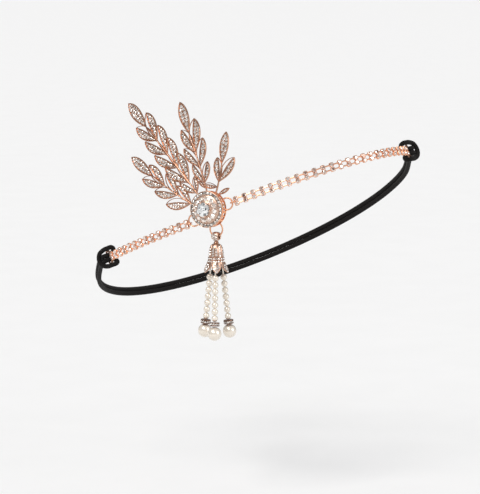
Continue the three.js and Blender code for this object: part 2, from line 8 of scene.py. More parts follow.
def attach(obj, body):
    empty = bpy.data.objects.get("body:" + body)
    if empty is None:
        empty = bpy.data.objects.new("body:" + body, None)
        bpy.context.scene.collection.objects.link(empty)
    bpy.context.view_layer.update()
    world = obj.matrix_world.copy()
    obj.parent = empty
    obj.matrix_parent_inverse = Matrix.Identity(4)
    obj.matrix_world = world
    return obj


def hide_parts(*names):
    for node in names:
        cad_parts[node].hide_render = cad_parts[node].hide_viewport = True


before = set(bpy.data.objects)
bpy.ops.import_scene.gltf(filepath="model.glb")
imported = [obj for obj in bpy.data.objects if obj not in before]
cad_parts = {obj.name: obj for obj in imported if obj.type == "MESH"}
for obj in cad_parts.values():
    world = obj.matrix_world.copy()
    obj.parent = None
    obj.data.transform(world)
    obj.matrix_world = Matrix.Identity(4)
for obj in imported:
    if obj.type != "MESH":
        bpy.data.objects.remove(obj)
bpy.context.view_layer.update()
scene = bpy.context.scene
mm = 0.001
upward = Vector((0, 0, 1))
print("frame loaded:", len(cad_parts), "nodes")


# Small helpers. A shape is (points in mm, faces); shapes are moved, put together and made into pieces.

endRise = 0.45  # the ends of a bar are domed by this share of their half width


def polar(radius, degrees, z=0.0):
    return Vector((radius * cos(radians(degrees)), radius * sin(radians(degrees)), z))


def lerp(a, b, share):
    return a + (b - a) * share


def shares(steps):  # from 0 to 1 in even steps
    return [k / steps for k in range(steps + 1)]


def around(count, shift=0.0):  # even angles round a circle
    return [360 * (k + shift) / count for k in range(count)]


def turnAbout(axis, degrees):
    return Matrix.Rotation(radians(degrees), 4, axis)


def lifted(level):
    return Matrix.Translation((0, 0, level))


def basis(x, y, z, spot):  # a frame from its three axes and its place
    return Matrix.Translation(spot) @ Matrix((x, y, z)).transposed().to_4x4()


def facing(normal, spot, spin=0.0):  # a frame whose z is the given normal
    z = normal.normalized()
    side = upward if abs(z.z) < 0.9 else Vector((1, 0, 0))
    x = side.cross(z).normalized()
    return basis(x, z.cross(x), z, spot) @ turnAbout("Z", spin)


def moved(shape, matrix):
    return [matrix @ p for p in shape[0]], shape[1]


def together(shapes):
    points, faces = [], []
    for shapePoints, shapeFaces in shapes:
        start = len(points)
        points += shapePoints
        faces += [tuple(k + start for k in face) for face in shapeFaces]
    return points, faces


def turned(rows, sides, closed=False):  # lathe about z from rows of (radius, height)
    points, faces, rings = [], [], []
    for radius, height in rows:
        if radius == 0:
            rings.append([len(points)] * sides)
            points.append(Vector((0, 0, height)))
        else:
            rings.append(list(range(len(points), len(points) + sides)))
            points += [polar(radius, degrees, height) for degrees in around(sides)]
    follow = list(zip(rings, rings[1:])) + ([(rings[-1], rings[0])] if closed else [])
    for low, high in follow:
        for k in range(sides):
            j = (k + 1) % sides
            face = [low[k], low[j], high[j], high[k]]
            face = [v for n, v in enumerate(face) if v != face[n - 1]]
            if len(face) > 2:
                faces.append(tuple(face))
    return points, faces


def swept(path, width, sides=8, closed=False, up=None, height=None):
    # round or oval bar along a path; up keeps an oval section level
    count = len(path)
    width = width if callable(width) else (lambda share, w=width: w)
    height = height or width
    height = height if callable(height) else (lambda share, h=height: h)
    points, faces, rings = [], [], []
    side = None
    for k, spot in enumerate(path):
        before = path[k - 1] if closed else path[max(k - 1, 0)]
        after = path[(k + 1) % count] if closed else path[min(k + 1, count - 1)]
        along = (after - before).normalized()
        if up is not None:
            side = along.cross(up).normalized()
        elif side is None:
            side = along.orthogonal().normalized()
        else:
            side = (side - along * side.dot(along)).normalized()
        top = side.cross(along)
        share = k / (count if closed else count - 1)
        rings.append(list(range(len(points), len(points) + sides)))
        for n in range(sides):
            angle = 2 * pi * n / sides
            points.append(spot + side * (width(share) * cos(angle)) + top * (height(share) * sin(angle)))
    follow = list(zip(rings, rings[1:]))
    if closed:  # join the last ring to the first with the least twist
        first, last = points[rings[0][0]], rings[-1]
        shift = min(range(sides), key=lambda n: (points[last[n]] - first).length)
        follow.append((last[shift:] + last[:shift], rings[0]))
    else:
        for ring, step in ((rings[0], path[0] - path[1]), (rings[-1], path[-1] - path[-2])):
            middle = sum((points[n] for n in ring), Vector()) / sides
            reach = endRise * (points[ring[0]] - middle).length
            points.append(middle + step.normalized() * reach)
            faces += [(ring[n], ring[(n + 1) % sides], len(points) - 1) for n in range(sides)]
    for low, high in follow:
        faces += [(low[n], low[(n + 1) % sides], high[(n + 1) % sides], high[n]) for n in range(sides)]
    return points, faces


def lofted(sections):  # closed skin through sections of equal point counts
    sides = len(sections[0])
    points = [p for section in sections for p in section]
    faces = [tuple(range(sides)), tuple(range(len(points) - sides, len(points)))]
    for k in range(len(sections) - 1):
        a, b = k * sides, (k + 1) * sides
        faces += [(a + n, a + (n + 1) % sides, b + (n + 1) % sides, b + n) for n in range(sides)]
    return points, faces


def plainMesh(name, shape):
    mesh = bpy.data.meshes.new(name)
    mesh.from_pydata([p * mm for p in shape[0]], [], shape[1])
    work = bmesh.new()
    work.from_mesh(mesh)
    bmesh.ops.recalc_face_normals(work, faces=work.faces)
    work.to_mesh(mesh)
    work.free()
    return mesh


def smoothed(mesh, angle):
    mesh.shade_smooth()
    mesh.set_sharp_from_angle(angle=radians(angle))


def finishPiece(name, mesh, material, body, nodes):
    piece = bpy.data.objects.new(name, mesh)
    scene.collection.objects.link(piece)
    mesh.materials.clear()
    mesh.materials.append(material)
    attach(piece, body)
    if nodes:
        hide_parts(*nodes)


def makePiece(name, shape, material, body, nodes=(), angle=40):
    mesh = plainMesh(name, shape)
    smoothed(mesh, angle)
    finishPiece(name, mesh, material, body, nodes)


# Materials

def linear(text):  # sRGB hex to linear
    parts = [int(text[k:k + 2], 16) / 255 for k in (1, 3, 5)]
    return tuple(v / 12.92 if v < 0.04045 else ((v + 0.055) / 1.055) ** 2.4 for v in parts) + (1.0,)


def feed(tree, node, inputs):  # sockets are linked, values are set
    for key, value in inputs.items():
        if isinstance(value, bpy.types.NodeSocket):
            tree.links.new(value, node.inputs[key])
        else:
            node.inputs[key].default_value = value


def addNode(tree, kind, inputs=None, **settings):
    node = tree.nodes.new(kind)
    for key, value in settings.items():
        setattr(node, key, value)
    feed(tree, node, inputs or {})
    return node


def newMaterial(name):
    material = bpy.data.materials.new(name)
    material.use_nodes = True
    tree = material.node_tree
    return material, tree, tree.nodes["Principled BSDF"]


def perSize(size):  # texture scale for a pattern of this size in mm
    return 1 / (size * mm)


def makeCoating(name, tones, clouds, gloss, grain, fixed):
    # two tones and two glosses that change in clouds, with a fine grain; clouds and grain start with a size
    material, tree, shader = newMaterial(name)
    spot = addNode(tree, "ShaderNodeTexCoord").outputs["Object"]
    size, detail = clouds
    cloud = addNode(tree, "ShaderNodeTexNoise", {"Vector": spot, "Scale": perSize(size), "Detail": detail})
    light, dark = tones
    tone = addNode(tree, "ShaderNodeMix", {0: cloud.outputs[0], 6: linear(light), 7: linear(dark)},
                   data_type="RGBA")
    low, high, smooth, rough = gloss
    shine = addNode(tree, "ShaderNodeMapRange", {0: cloud.outputs[0], 1: low, 2: high, 3: smooth, 4: rough})
    size, detail, strength = grain
    fine = addNode(tree, "ShaderNodeTexNoise", {"Vector": spot, "Scale": perSize(size), "Detail": detail})
    bump = addNode(tree, "ShaderNodeBump", {
        "Height": fine.outputs[0], "Strength": strength, "Distance": 0.05 * mm})
    feed(tree, shader, {"Base Color": tone.outputs[2], "Roughness": shine.outputs[0],
                        "Normal": bump.outputs[0], **fixed})
    return material


def makeRoseGold(name, light, dark, smooth, rough):
    # rose gold plating on cast alloy: a warm pink mirror with soft polishing clouds and fine casting grain
    gloss = (0.35, 0.7, smooth, rough)
    return makeCoating(name, (light, dark), (5, 3), gloss, (0.4, 2, 0.12), {"Metallic": 1.0})


def makePearl():
    # pearl coating on moulded beads: soft cream lustre under a clear gloss, with faint rosy clouds
    tones, gloss = ("#f0e8dc", "#e2d7c8"), (0.3, 0.7, 0.2, 0.3)
    fixed = {"Metallic": 0.35, "IOR": 1.6, "Coat Weight": 1.0, "Coat Roughness": 0.06}
    return makeCoating("pearlCoating", tones, (2.5, 2), gloss, (0.5, 1, 0.05), fixed)


def makeCrystal(name, tones):
    # foiled cut glass: each facet gets a painted reflection, a random tone from dark to white in place of the
    # part of the room it would mirror
    material, tree, shader = newMaterial(name)
    facet = addNode(tree, "ShaderNodeAttribute", attribute_name="facetTone")
    # the ramp's stops are the painted reflection tones of the facets
    ramp = addNode(tree, "ShaderNodeValToRGB", {0: facet.outputs["Fac"]})
    stops = ramp.color_ramp.elements
    while len(stops) < len(tones):
        stops.new(0.5)
    for stop, (place, tone) in zip(stops, tones.items()):
        stop.position = place
        stop.color = linear(tone)
    spot = addNode(tree, "ShaderNodeTexCoord").outputs["Object"]
    haze = addNode(tree, "ShaderNodeTexNoise", {"Vector": spot, "Scale": perSize(1.2), "Detail": 1})
    gloss = addNode(tree, "ShaderNodeMapRange", {0: haze.outputs[0], 1: 0.3, 2: 0.7, 3: 0.02, 4: 0.1})
    feed(tree, shader, {"Base Color": ramp.outputs[0], "Roughness": gloss.outputs[0], "Metallic": 0.75,
                        "IOR": 1.55, "Coat Weight": 1.0, "Coat Roughness": 0.02, "Coat IOR": 1.55})
    return material


def makeElasticCover():
    # braided cotton over rubber: matt black with a fine diagonal plait, drawn at 0.9 mm so that it shows; the
    # plait's low places get painted shade
    plaitPitch, plaitStrands = 0.9, 8.0
    material, tree, shader = newMaterial("braidedElastic")
    layout = addNode(tree, "ShaderNodeUVMap", uv_map="cordMap")
    split = addNode(tree, "ShaderNodeSeparateXYZ", {0: layout.outputs[0]})
    along = addNode(tree, "ShaderNodeMath", {0: split.outputs["X"], 1: 2 * pi / plaitPitch},
                    operation="MULTIPLY")
    waves = []
    for way in (1, -1):  # the two directions of the plait
        slant = addNode(tree, "ShaderNodeMath", {0: split.outputs["Y"], 1: way * plaitStrands},
                        operation="MULTIPLY")
        angle = addNode(tree, "ShaderNodeMath", {0: along.outputs[0], 1: slant.outputs[0]}, operation="ADD")
        waves.append(addNode(tree, "ShaderNodeMath", {0: angle.outputs[0]}, operation="SINE").outputs[0])
    plait = addNode(tree, "ShaderNodeMath", {0: waves[0], 1: waves[1]}, operation="MULTIPLY")
    level = addNode(tree, "ShaderNodeMapRange", {0: plait.outputs[0], 1: -1.0, 2: 1.0, 3: 0.0, 4: 1.0})
    spot = addNode(tree, "ShaderNodeTexCoord").outputs["Object"]
    fuzz = addNode(tree, "ShaderNodeTexNoise", {"Vector": spot, "Scale": perSize(0.35), "Detail": 2})
    height = addNode(tree, "ShaderNodeMix", {0: 0.25, 2: level.outputs[0], 3: fuzz.outputs[0]},
                     data_type="FLOAT")
    bump = addNode(tree, "ShaderNodeBump", {
        "Height": height.outputs[0], "Strength": 0.6, "Distance": 0.15 * mm})
    # painted shade: the colour follows the plait's height, darker in its low places
    tone = addNode(tree, "ShaderNodeMix", {0: height.outputs[0], 6: linear("#060505"), 7: linear("#1a1614")},
                   data_type="RGBA")
    rough = addNode(tree, "ShaderNodeMapRange", {0: fuzz.outputs[0], 1: 0.3, 2: 0.7, 3: 0.7, 4: 0.9})
    feed(tree, shader, {"Base Color": tone.outputs[2], "Roughness": rough.outputs[0],
                        "Normal": bump.outputs[0], "Specular IOR Level": 0.15, "Sheen Weight": 0.05,
                        "Sheen Roughness": 0.5})
    return material


roseGold = makeRoseGold("roseGoldPlating", "#f5c6a6", "#dd9c78", 0.24, 0.4)
# a darker copy of the rose gold: painted dark reflections on the leaves, stems, bead prongs and seat collars
leafGold = makeRoseGold("roseGoldWithPaintedDarkReflections", "#dcb298", "#ae7d62", 0.2, 0.36)
paleGold = makeRoseGold("paleRoseGoldPlating", "#efd6c5", "#c9a48e", 0.24, 0.4)
# a brighter orange copy of the rose gold: painted light, so the gallery wall glows though it faces away from
# the lamps
wallGold = makeRoseGold("mattRoseGoldWithPaintedGlow", "#ffc79c", "#f3a274", 0.4, 0.55)
# a darker copy of the rose gold over the whole tassel head: painted shade standing in for the shade in its
# recesses
shadedTasselGold = makeRoseGold("roseGoldWithPaintedShade", "#dcbba7", "#a8826c", 0.22, 0.4)
# a still darker copy of the rose gold for the rondelles: painted shade
darkRoseGold = makeRoseGold("roseGoldWithDeeperPaintedShade", "#b08c78", "#6f5343", 0.25, 0.42)
# the tone ramps below are painted reflections in the stones' facets, from dark to white
smallCrystal = makeCrystal("foiledGlass", {0: "#5e4d43", 0.18: "#ab9a8e", 0.38: "#efe5dd", 1: "#fffdfb"})
greyCrystal = makeCrystal("greyFoiledGlass", {0: "#46403c", 0.25: "#8c847e", 0.55: "#cbc3bc", 1: "#f4efea"})
brightCrystal = makeCrystal("paleFoiledGlass", {0: "#a58b7c", 0.2: "#e2ccbe", 0.42: "#fdeee2", 1: "#fffdfb"})
warmCrystal = makeCrystal("warmFoiledGlass", {0: "#6a4c3f", 0.2: "#bd9683", 0.44: "#f0d9cc", 1: "#fffaf6"})
mainCrystal = makeCrystal("clearCutGlass", {0: "#34373a", 0.22: "#999da0", 0.42: "#f0f2f2", 1: "#ffffff"})
pearlCoating = makePearl()
braidedElastic = makeElasticCover()
print("materials made")


# Stones and beads that repeat, set on points by geometry nodes

stoneCut = {"table": 0.56, "crown": 0.42, "starOut": 0.03, "starRise": 0.58}  # in radii of the stone
deepCut = {"girdle": 0.07, "starPoints": (0.3, 0.5)}  # for the main stone, whose inside is painted on its table
drillShare = 0.62  # the drilled seat behind a stone, in radii of the stone


def makeSettingTree():
    tree = bpy.data.node_groups.new("setOnPoints", "GeometryNodeTree")
    kinds = {"Points": "Geometry", "Shape": "Object", "Size": "Float", "Seed": "Int", "Finish": "Material"}
    sockets = {}
    for name, kind in kinds.items():
        socket = tree.interface.new_socket(name, in_out="INPUT", socket_type="NodeSocket" + kind)
        sockets[name] = socket.identifier
    tree.interface.new_socket("Piece", in_out="OUTPUT", socket_type="NodeSocketGeometry")
    start = addNode(tree, "NodeGroupInput")
    shape = addNode(tree, "GeometryNodeObjectInfo", {"Object": start.outputs["Shape"]})
    turn = addNode(tree, "GeometryNodeInputNamedAttribute", {"Name": "turn"}, data_type="FLOAT_VECTOR")
    spin = addNode(tree, "FunctionNodeEulerToRotation", {0: turn.outputs["Attribute"]})
    size = addNode(tree, "GeometryNodeInputNamedAttribute", {"Name": "size"}, data_type="FLOAT")
    scale = addNode(tree, "ShaderNodeMath", {0: size.outputs["Attribute"], 1: start.outputs["Size"]},
                    operation="MULTIPLY")
    spots = addNode(tree, "GeometryNodeInstanceOnPoints", {
        "Points": start.outputs["Points"], "Instance": shape.outputs["Geometry"],
        "Rotation": spin.outputs[0], "Scale": scale.outputs[0]})
    whole = addNode(tree, "GeometryNodeRealizeInstances", {"Geometry": spots.outputs[0]})
    index = addNode(tree, "GeometryNodeInputIndex")
    # a random painted reflection tone for each face of the stones
    chance = addNode(tree, "FunctionNodeRandomValue", {"ID": index.outputs[0], "Seed": start.outputs["Seed"]},
                     data_type="FLOAT")
    tone = addNode(tree, "GeometryNodeStoreNamedAttribute", {
        "Geometry": whole.outputs[0], "Name": "facetTone", "Value": chance.outputs[1]},
        data_type="FLOAT", domain="FACE")
    finish = addNode(tree, "GeometryNodeSetMaterial", {
        "Geometry": tone.outputs[0], "Material": start.outputs["Finish"]})
    addNode(tree, "NodeGroupOutput", {0: finish.outputs[0]})
    return tree, sockets


settingTree, settingSockets = makeSettingTree()


def setOnPoints(name, shape, spots, material, body, nodes=(), angle=None, seed=7):
    # spots are (frame, size) rows; the shape is in units of its own radius
    model = bpy.data.objects.new(name + "Shape", plainMesh(name + "Shape", shape))
    model.data.transform(Matrix.Scale(1 / mm, 4))
    if angle:
        smoothed(model.data, angle)
    points = bpy.data.meshes.new(name + "Points")
    points.from_pydata([spot.to_translation() * mm for spot, size in spots], [], [])
    points.attributes.new("turn", "FLOAT_VECTOR", "POINT")
    points.attributes.new("size", "FLOAT", "POINT")
    for k, (spot, size) in enumerate(spots):
        points.attributes["turn"].data[k].vector = spot.to_euler()
        points.attributes["size"].data[k].value = size
    carrier = bpy.data.objects.new(name + "Carrier", points)
    for item in (model, carrier):
        scene.collection.objects.link(item)
    setting = carrier.modifiers.new("setting", "NODES")
    setting.node_group = settingTree
    for key, value in (("Shape", model), ("Size", mm), ("Seed", seed), ("Finish", material)):
        setting[settingSockets[key]] = value
    graph = bpy.context.evaluated_depsgraph_get()
    mesh = bpy.data.meshes.new_from_object(carrier.evaluated_get(graph), depsgraph=graph)
    mesh.name = name
    carrier.modifiers.remove(setting)
    for item in (carrier, model):
        bpy.data.objects.remove(item)
    print(name, len(spots), "set,", len(mesh.polygons), "faces")
    finishPiece(name, mesh, material, body, nodes)


def cutStone(table=stoneCut["table"], crown=stoneCut["crown"], depth=None):
    # brilliant crown: table, eight stars, eight kites and sixteen girdle facets; a flat back without a depth
    starAt = (1 + table) / 2 + stoneCut["starOut"]
    points = [polar(table, 45 * k, crown) for k in range(8)]
    points += [polar(starAt, 45 * k + 22.5, stoneCut["starRise"] * crown) for k in range(8)]
    points += [polar(1, 22.5 * k) for k in range(16)]
    faces = [tuple(range(8))]
    for k in range(8):
        star, nextTop, lastStar = 8 + k, (k + 1) % 8, 8 + (k - 1) % 8
        rim, rimHalf, rimNext = 16 + 2 * k, 17 + 2 * k, 16 + (2 * k + 2) % 16
        faces += [(k, star, nextTop), (k, lastStar, rim, star),
                  (star, rim, rimHalf), (star, rimHalf, rimNext)]
    if depth is None:
        return points, faces + [tuple(range(31, 15, -1))]
    faces = faces[1:]  # the table is drawn as a star of flat facets of its own, whose painted tones stand for the pavilion seen through it
    starPoints = deepCut["starPoints"]
    points += [polar(table * starPoints[k % 2], 22.5 * k, crown) for k in range(16)] + [Vector((0, 0, crown))]
    middle = 48
    for k in range(8):
        inner, between, after, nextTop = 32 + 2 * k, 33 + 2 * k, 32 + (2 * k + 2) % 16, (k + 1) % 8
        faces += [(k, inner, between), (k, between, nextTop), (between, after, nextTop),
                  (inner, middle, between), (between, middle, after)]
    under = len(points)
    points += [polar(1, 22.5 * k, -deepCut["girdle"]) for k in range(16)] + [Vector((0, 0, -depth))]
    for k in range(16):
        j = (k + 1) % 16
        faces += [(16 + k, 16 + j, under + j, under + k), (under + k, under + j, under + 16)]
    return points, faces


def seatCollar():  # the drilled seat behind a stone, with a turned edge
    return turned([(1.0, -0.1), (0.95, 0.16), (0.72, 0.18), (0.62, -0.1)], 8, True)


def stonePoint():  # the foiled point of the stone that shows in its seat
    return turned([(0.66, -0.02), (0, 0.2)], 8)


def roundBead():
    rows = [(sin(pi * s), -cos(pi * s)) for s in shares(5)]
    return turned([(0, -1)] + rows[1:-1] + [(0, 1)], 8)


# The loop, and the frames on it

loop = {"halfLength": 104, "halfWidth": 78, "tilt": 23.4, "step": 0.02, "search": 15}  # steps in degrees
seat = {"angle": 75.8, "yaw": -5, "lift": 1, "out": -1.2, "bendRadius": 170}
band = turnAbout("X", -loop["tilt"])


def loopPoint(degrees):
    turn = radians(degrees)
    return Vector((-loop["halfWidth"] * sin(turn), -loop["halfLength"] * cos(turn), 0))


def loopNormal(degrees):
    turn = radians(degrees)
    return Vector((-sin(turn) / loop["halfWidth"], -cos(turn) / loop["halfLength"], 0)).normalized()


def walkLoop(start, distance):
    step = loop["step"] if distance > 0 else -loop["step"]
    degrees, left = start, abs(distance)
    while left > 0:
        left -= (loopPoint(degrees) - loopPoint(degrees + step)).length
        degrees += step
    return degrees


def nearestAngle(spot, near):
    flat = Vector((spot.x, spot.y, 0))
    tries = round(2 * loop["search"] / loop["step"])
    angles = (near - loop["search"] + loop["step"] * k for k in range(tries))
    return min(angles, key=lambda degrees: (loopPoint(degrees) - flat).length)


def seatFrame():
    outward = Matrix.Rotation(radians(seat["yaw"]), 3, "Z") @ loopNormal(seat["angle"])
    spot = loopPoint(seat["angle"]) + upward * seat["lift"] + outward * seat["out"]
    return basis(upward.cross(outward).normalized(), upward, outward, spot)


clusterInBand = seatFrame()
cluster = band @ clusterInBand


# Leaf spray, drawn flat and then bent to the curve of the loop. Places along a leaf are shares of its length.

leaf = {"tipPower": 0.74, "sideRatio": 0.4, "tipRatio": 0.31, "shortestOpen": 8, "split": 0.26, "height": 1.1,
        "level": 0.9, "finerTip": 1.7}
leafRim = {"width": 0.5, "openShare": 0.8, "endShare": 0.75, "steps": 18, "sides": 8}
leafRib = {"from": 0.04, "to": 0.96, "level": 0.48, "end": 0.16, "swell": 0.3, "height": 0.55, "steps": 10,
           "sides": 6}
leafBed = {"from": 0.04, "to": 0.975, "top": 0.62, "bottom": 0.34, "rise": 0.06, "least": 0.05, "steps": 12}
paving = {"from": 0.11, "to": 0.91, "end": 0.99, "inset": 0.475, "pitch": 2.15, "largest": 1.15,
          "smallest": 0.3, "fill": 0.49, "stagger": 0.4, "step": 0.94, "level": 0.66, "spin": 37}
beadProng = {"radius": 0.2, "inset": 0.525, "level": 0.86}
stem = {"width": 0.44, "height": 0.55, "level": 0.6, "root": 9.5, "intoTip": 0.1, "rootShare": 1.15,
        "thins": 0.4, "pointFrom": 0.93, "pointShare": 0.2, "steps": 22, "sides": 10, "turnSteps": 24}
# pairs of leaves: distance along, right length and spread, left length and spread; 0 for no leaf
sprays = [
    {"root": 148, "heading": 133, "turn": -5, "length": 33, "tip": 20.3, "pairs": [
        (2.5, 13.5, -20, 17, 29), (12.5, 14.5, -26, 16.5, 22), (23, 16.5, -14, 17, 18)]},
    {"root": 111, "heading": 110, "turn": 11, "length": 55, "tip": 21.5, "pairs": [
        (2, 9.5, -29, 13, 23), (10, 18.5, -14, 18.5, 22), (21, 19, -17, 18.5, 24), (32, 18.3, -18, 18.5, 22),
        (43, 19, -15, 18.5, 18)]},
    {"root": 77, "heading": 87, "turn": 10, "length": 34.5, "tip": 19.7, "pairs": [
        (1.8, 0, 0, 6.5, 32), (5, 12, -25, 13, 20), (14.5, 16, -23, 15, 27), (23, 19, -15, 16.5, 17)]},
    {"root": 43, "heading": 52, "turn": 13, "length": 16.5, "tip": 17.5, "pairs": [
        (3.6, 0, 0, 8.6, 95), (6.5, 16, -21, 13.5, 18)]},
]
smallLeaf = {"root": 34, "heading": 8, "length": 7.8}
stones, beads, stoneBacks = [], [], []  # rows of (frame, size) for what is set on the headband


def bent(x, y, z):
    return Vector((x, y, z + leaf["level"] - (x * x + y * y) / (2 * seat["bendRadius"])))


def bentNormal(spot):
    return Vector((spot.x / seat["bendRadius"], spot.y / seat["bendRadius"], 1))


def stemHeading(spray, along):
    return spray["heading"] + spray["turn"] * along / spray["length"]


def stemPoint(spray, along):
    spot = polar(stem["root"], spray["root"])
    steps = stem["turnSteps"]
    for k in range(steps):
        spot += polar(along / steps, stemHeading(spray, along * (k + 0.5) / steps))
    return spot


def stemWidth(s):  # thinner as it grows, to a point between the rims of the tip leaf
    point = min((1 - s) / (1 - stem["pointFrom"]), 1)
    return stem["width"] * (stem["rootShare"] - stem["thins"] * s) * lerp(stem["pointShare"], 1, point)


def leafFullness(t):  # pointed at the stem, blunt at the tip
    widest = 1 / (1 + leaf["tipPower"])
    return t / widest * ((1 - t) / (1 - widest)) ** leaf["tipPower"]


def towardsTip(share):  # steps along a leaf, finer at the round tip
    return 1 - (1 - share) ** leaf["finerTip"]


def leafShapes(base, heading, length, stemSide):
    # a side leaf is open next to the stem; tip leaves and short leaves are paved all over
    openSide = stemSide if length >= leaf["shortestOpen"] else 0
    bedSide = -openSide or 1
    ratio = leaf["sideRatio"] if openSide else leaf["tipRatio"]
    rimHalf = leafRim["width"] / 2
    turn = Matrix.Rotation(radians(heading), 3, "Z")

    def half(t):
        return 0.5 * ratio * length * leafFullness(t)

    def ribAt(t):
        return openSide * leaf["split"] * half(t)

    def spotAt(t, across, z):
        flat = base + turn @ Vector((t * length, across, 0))
        return bent(flat.x, flat.y, z)

    def bedEdges(t, inset):  # where the bed starts and ends across the leaf
        outer = bedSide * max(half(t) - inset, leafBed["least"])
        return (ribAt(t) + bedSide * (inset - rimHalf) if openSide else -outer), outer

    made = []
    for side in (-1, 1):
        thick = rimHalf * (leafRim["openShare"] if side == openSide else 1)
        places = [towardsTip(s) for s in shares(leafRim["steps"])]
        edge = [spotAt(t, side * max(half(t) - thick, 0), leaf["height"] / 2) for t in places]
        made.append(swept(edge, lambda s, w=thick: w * (leafRim["endShare"] + s * (1 - s)), leafRim["sides"],
                          up=upward, height=leaf["height"] / 2))
    if openSide:
        places = [lerp(leafRib["from"], leafRib["to"], s) for s in shares(leafRib["steps"])]
        rib = [spotAt(t, ribAt(t), leafRib["level"]) for t in places]
        made.append(swept(rib, lambda s: leafRib["end"] + leafRib["swell"] * s * (1 - s), leafRib["sides"],
                          up=upward, height=leafRib["height"]))
    top, under = leafBed["top"], leafBed["bottom"]
    sections = []
    for s in shares(leafBed["steps"]):
        t = lerp(leafBed["from"], leafBed["to"], towardsTip(s))
        low, high = bedEdges(t, rimHalf)
        crown = (low + high) / 2, top + leafBed["rise"]
        corners = [(low, under), (high, under), (high, top), crown, (low, top)]
        sections.append([spotAt(t, across, z) for across, z in corners])
    made.append(lofted(sections))
    paveLeaf(bedEdges, spotAt, length)
    return made


def paveLeaf(bedEdges, spotAt, length):  # rows of stones across the bed, with bead prongs at their corners
    t = paving["from"]
    while t < paving["to"]:
        ahead = min(t + paving["largest"] / length, paving["end"])
        low, high = min((bedEdges(t, paving["inset"]), bedEdges(ahead, paving["inset"])),
                        key=lambda edges: abs(edges[1] - edges[0]))
        room = abs(high - low)
        across = max(1, round(room / paving["pitch"]))
        radius = min(max(paving["fill"] * room / across, paving["smallest"]), paving["largest"])
        t += radius / length
        for k in range(across):
            along = t + (paving["stagger"] * radius / length if k % 2 else 0)
            place = along, lerp(low, high, (k + 0.5) / across)
            spot, behind = spotAt(*place, paving["level"]), spotAt(*place, leafBed["bottom"])
            stones.append((cluster @ facing(bentNormal(spot), spot, paving["spin"] * len(stones)), radius))
            back = facing(-bentNormal(spot), behind, paving["spin"] * len(stones))
            stoneBacks.append((cluster @ back, drillShare * radius))
        t += paving["step"] * radius / length
        low, high = bedEdges(t, beadProng["inset"])
        for share in shares(across):
            bead = spotAt(t, lerp(low, high, share), beadProng["level"])
            beads.append((cluster @ Matrix.Translation(bead), beadProng["radius"]))


def makeSpray():
    made = []
    for spray in sprays:
        reach = spray["length"] + stem["intoTip"] * spray["tip"]
        path = [stemPoint(spray, reach * s) for s in shares(stem["steps"])]
        path = [bent(p.x, p.y, stem["level"]) for p in path]
        made.append(swept(path, stemWidth, stem["sides"], up=upward, height=stem["height"]))
        end, endHeading = stemPoint(spray, spray["length"]), stemHeading(spray, spray["length"])
        made += leafShapes(end, endHeading, spray["tip"], 0)
        for along, right, rightSpread, left, leftSpread in spray["pairs"]:
            spot, heading = stemPoint(spray, along), stemHeading(spray, along)
            made += leafShapes(spot, heading + rightSpread, right, 1) if right else []
            made += leafShapes(spot, heading + leftSpread, left, -1) if left else []
    foot = polar(stem["root"], smallLeaf["root"])
    made += leafShapes(foot, smallLeaf["heading"], smallLeaf["length"], 0)
    makePiece("leafSpray", moved(together(made), cluster), leafGold, "headband",
              ("brooch_frame",), 50)
    print("leaf spray:", len(made), "shapes")


makeSpray()


# Round cluster: pierced gallery, halo, inner stones and the main stone

gallery = {"radius": 10, "wall": 0.9, "sill": 0.6, "head": 3.2, "strutHalf": 3, "narrow": 1.7, "step": 4,
           "clear": 1.5, "narrowAt": (-51, -38, 22, 60, 94, 129, 160, -133.5)}
rings = {
    "front": {"at": -6, "outside": 7.4, "strutGap": 1.3, "low": 20.5, "high": 20.5, "dip": 6, "slitAt": 62},
    "back": {"at": -168, "outside": 7.4, "strutGap": 1.3, "low": 20.5, "high": 20.5, "dip": -2, "slitAt": 62},
    "drop": {"at": -84, "outside": 8.6, "strutGap": 1.37, "low": 36, "high": 21.5, "dip": 0, "slitAt": 75},
}
halo = {"count": 26, "at": 8.84, "level": 4.84, "stone": 1.04, "spin": 37, "seatAt": 8.3, "seatLevel": 3.87,
        "beadsAt": (8.1, 9.62), "beadLevel": 5.0, "bead": 0.26}
cone = {"foot": 7.6, "footLevel": 4.95, "top": 4.25, "topLevel": 7.55}
innerRing = {"count": 12, "at": 5.98, "raised": 0.12, "stone": 1.54, "spin": 22.5, "seatAt": 5.6,
             "seatLevel": 4.98, "seatNormal": (-0.574, -0.819), "beadsAt": (7.1, 4.9),
             "beadRaised": 0.2, "bead": 0.34}
seatWires = [{"at": 9.9, "level": 4.9, "radius": 0.17}, {"at": 7.72, "level": 5.0, "radius": 0.15}]
mainStone = {"girdle": 3.95, "girdleAt": 8.75, "crown": 1.2, "table": 0.55, "depth": 0.64, "spin": 11}
claws = {"count": 6, "at": 4.28, "width": 0.36, "footShare": 1.1, "thins": 0.35,
         "path": [(0, 7.3), (0, 8.4), (0.04, 9.0), (0.35, 9.36), (0.75, 9.5)]}  # inwards, level
insideRadius = gallery["radius"] - gallery["wall"]
wallRows = [(gallery["radius"], z) for z in (0.12, gallery["sill"], gallery["head"], 3.95)]
wallRows += [(10.1, 4.15), (10.1, 4.75), (9.95, 4.9), (9.8, 4.75), (9.8, 4.1)]  # the lip round the halo
wallRows += [(insideRadius, z) for z in (3.8, gallery["head"], gallery["sill"], 0.12)]
wallRows += [(9.22, 0), (9.88, 0)]
seatRows = [(9.85, 4.3), (9.85, 4.7), (8.0, 4.75), (cone["foot"], cone["footLevel"]),
            (cone["top"], cone["topLevel"]), (4.2, 7.7), (4.2, 8.0), (4.1, 8.1), (3.65, 8.1), (3.55, 8.0),
            (3.15, 6.7), (7, 4), (9.3, 3.82)]
haloStones, innerStones, seatBeads = [], [], []


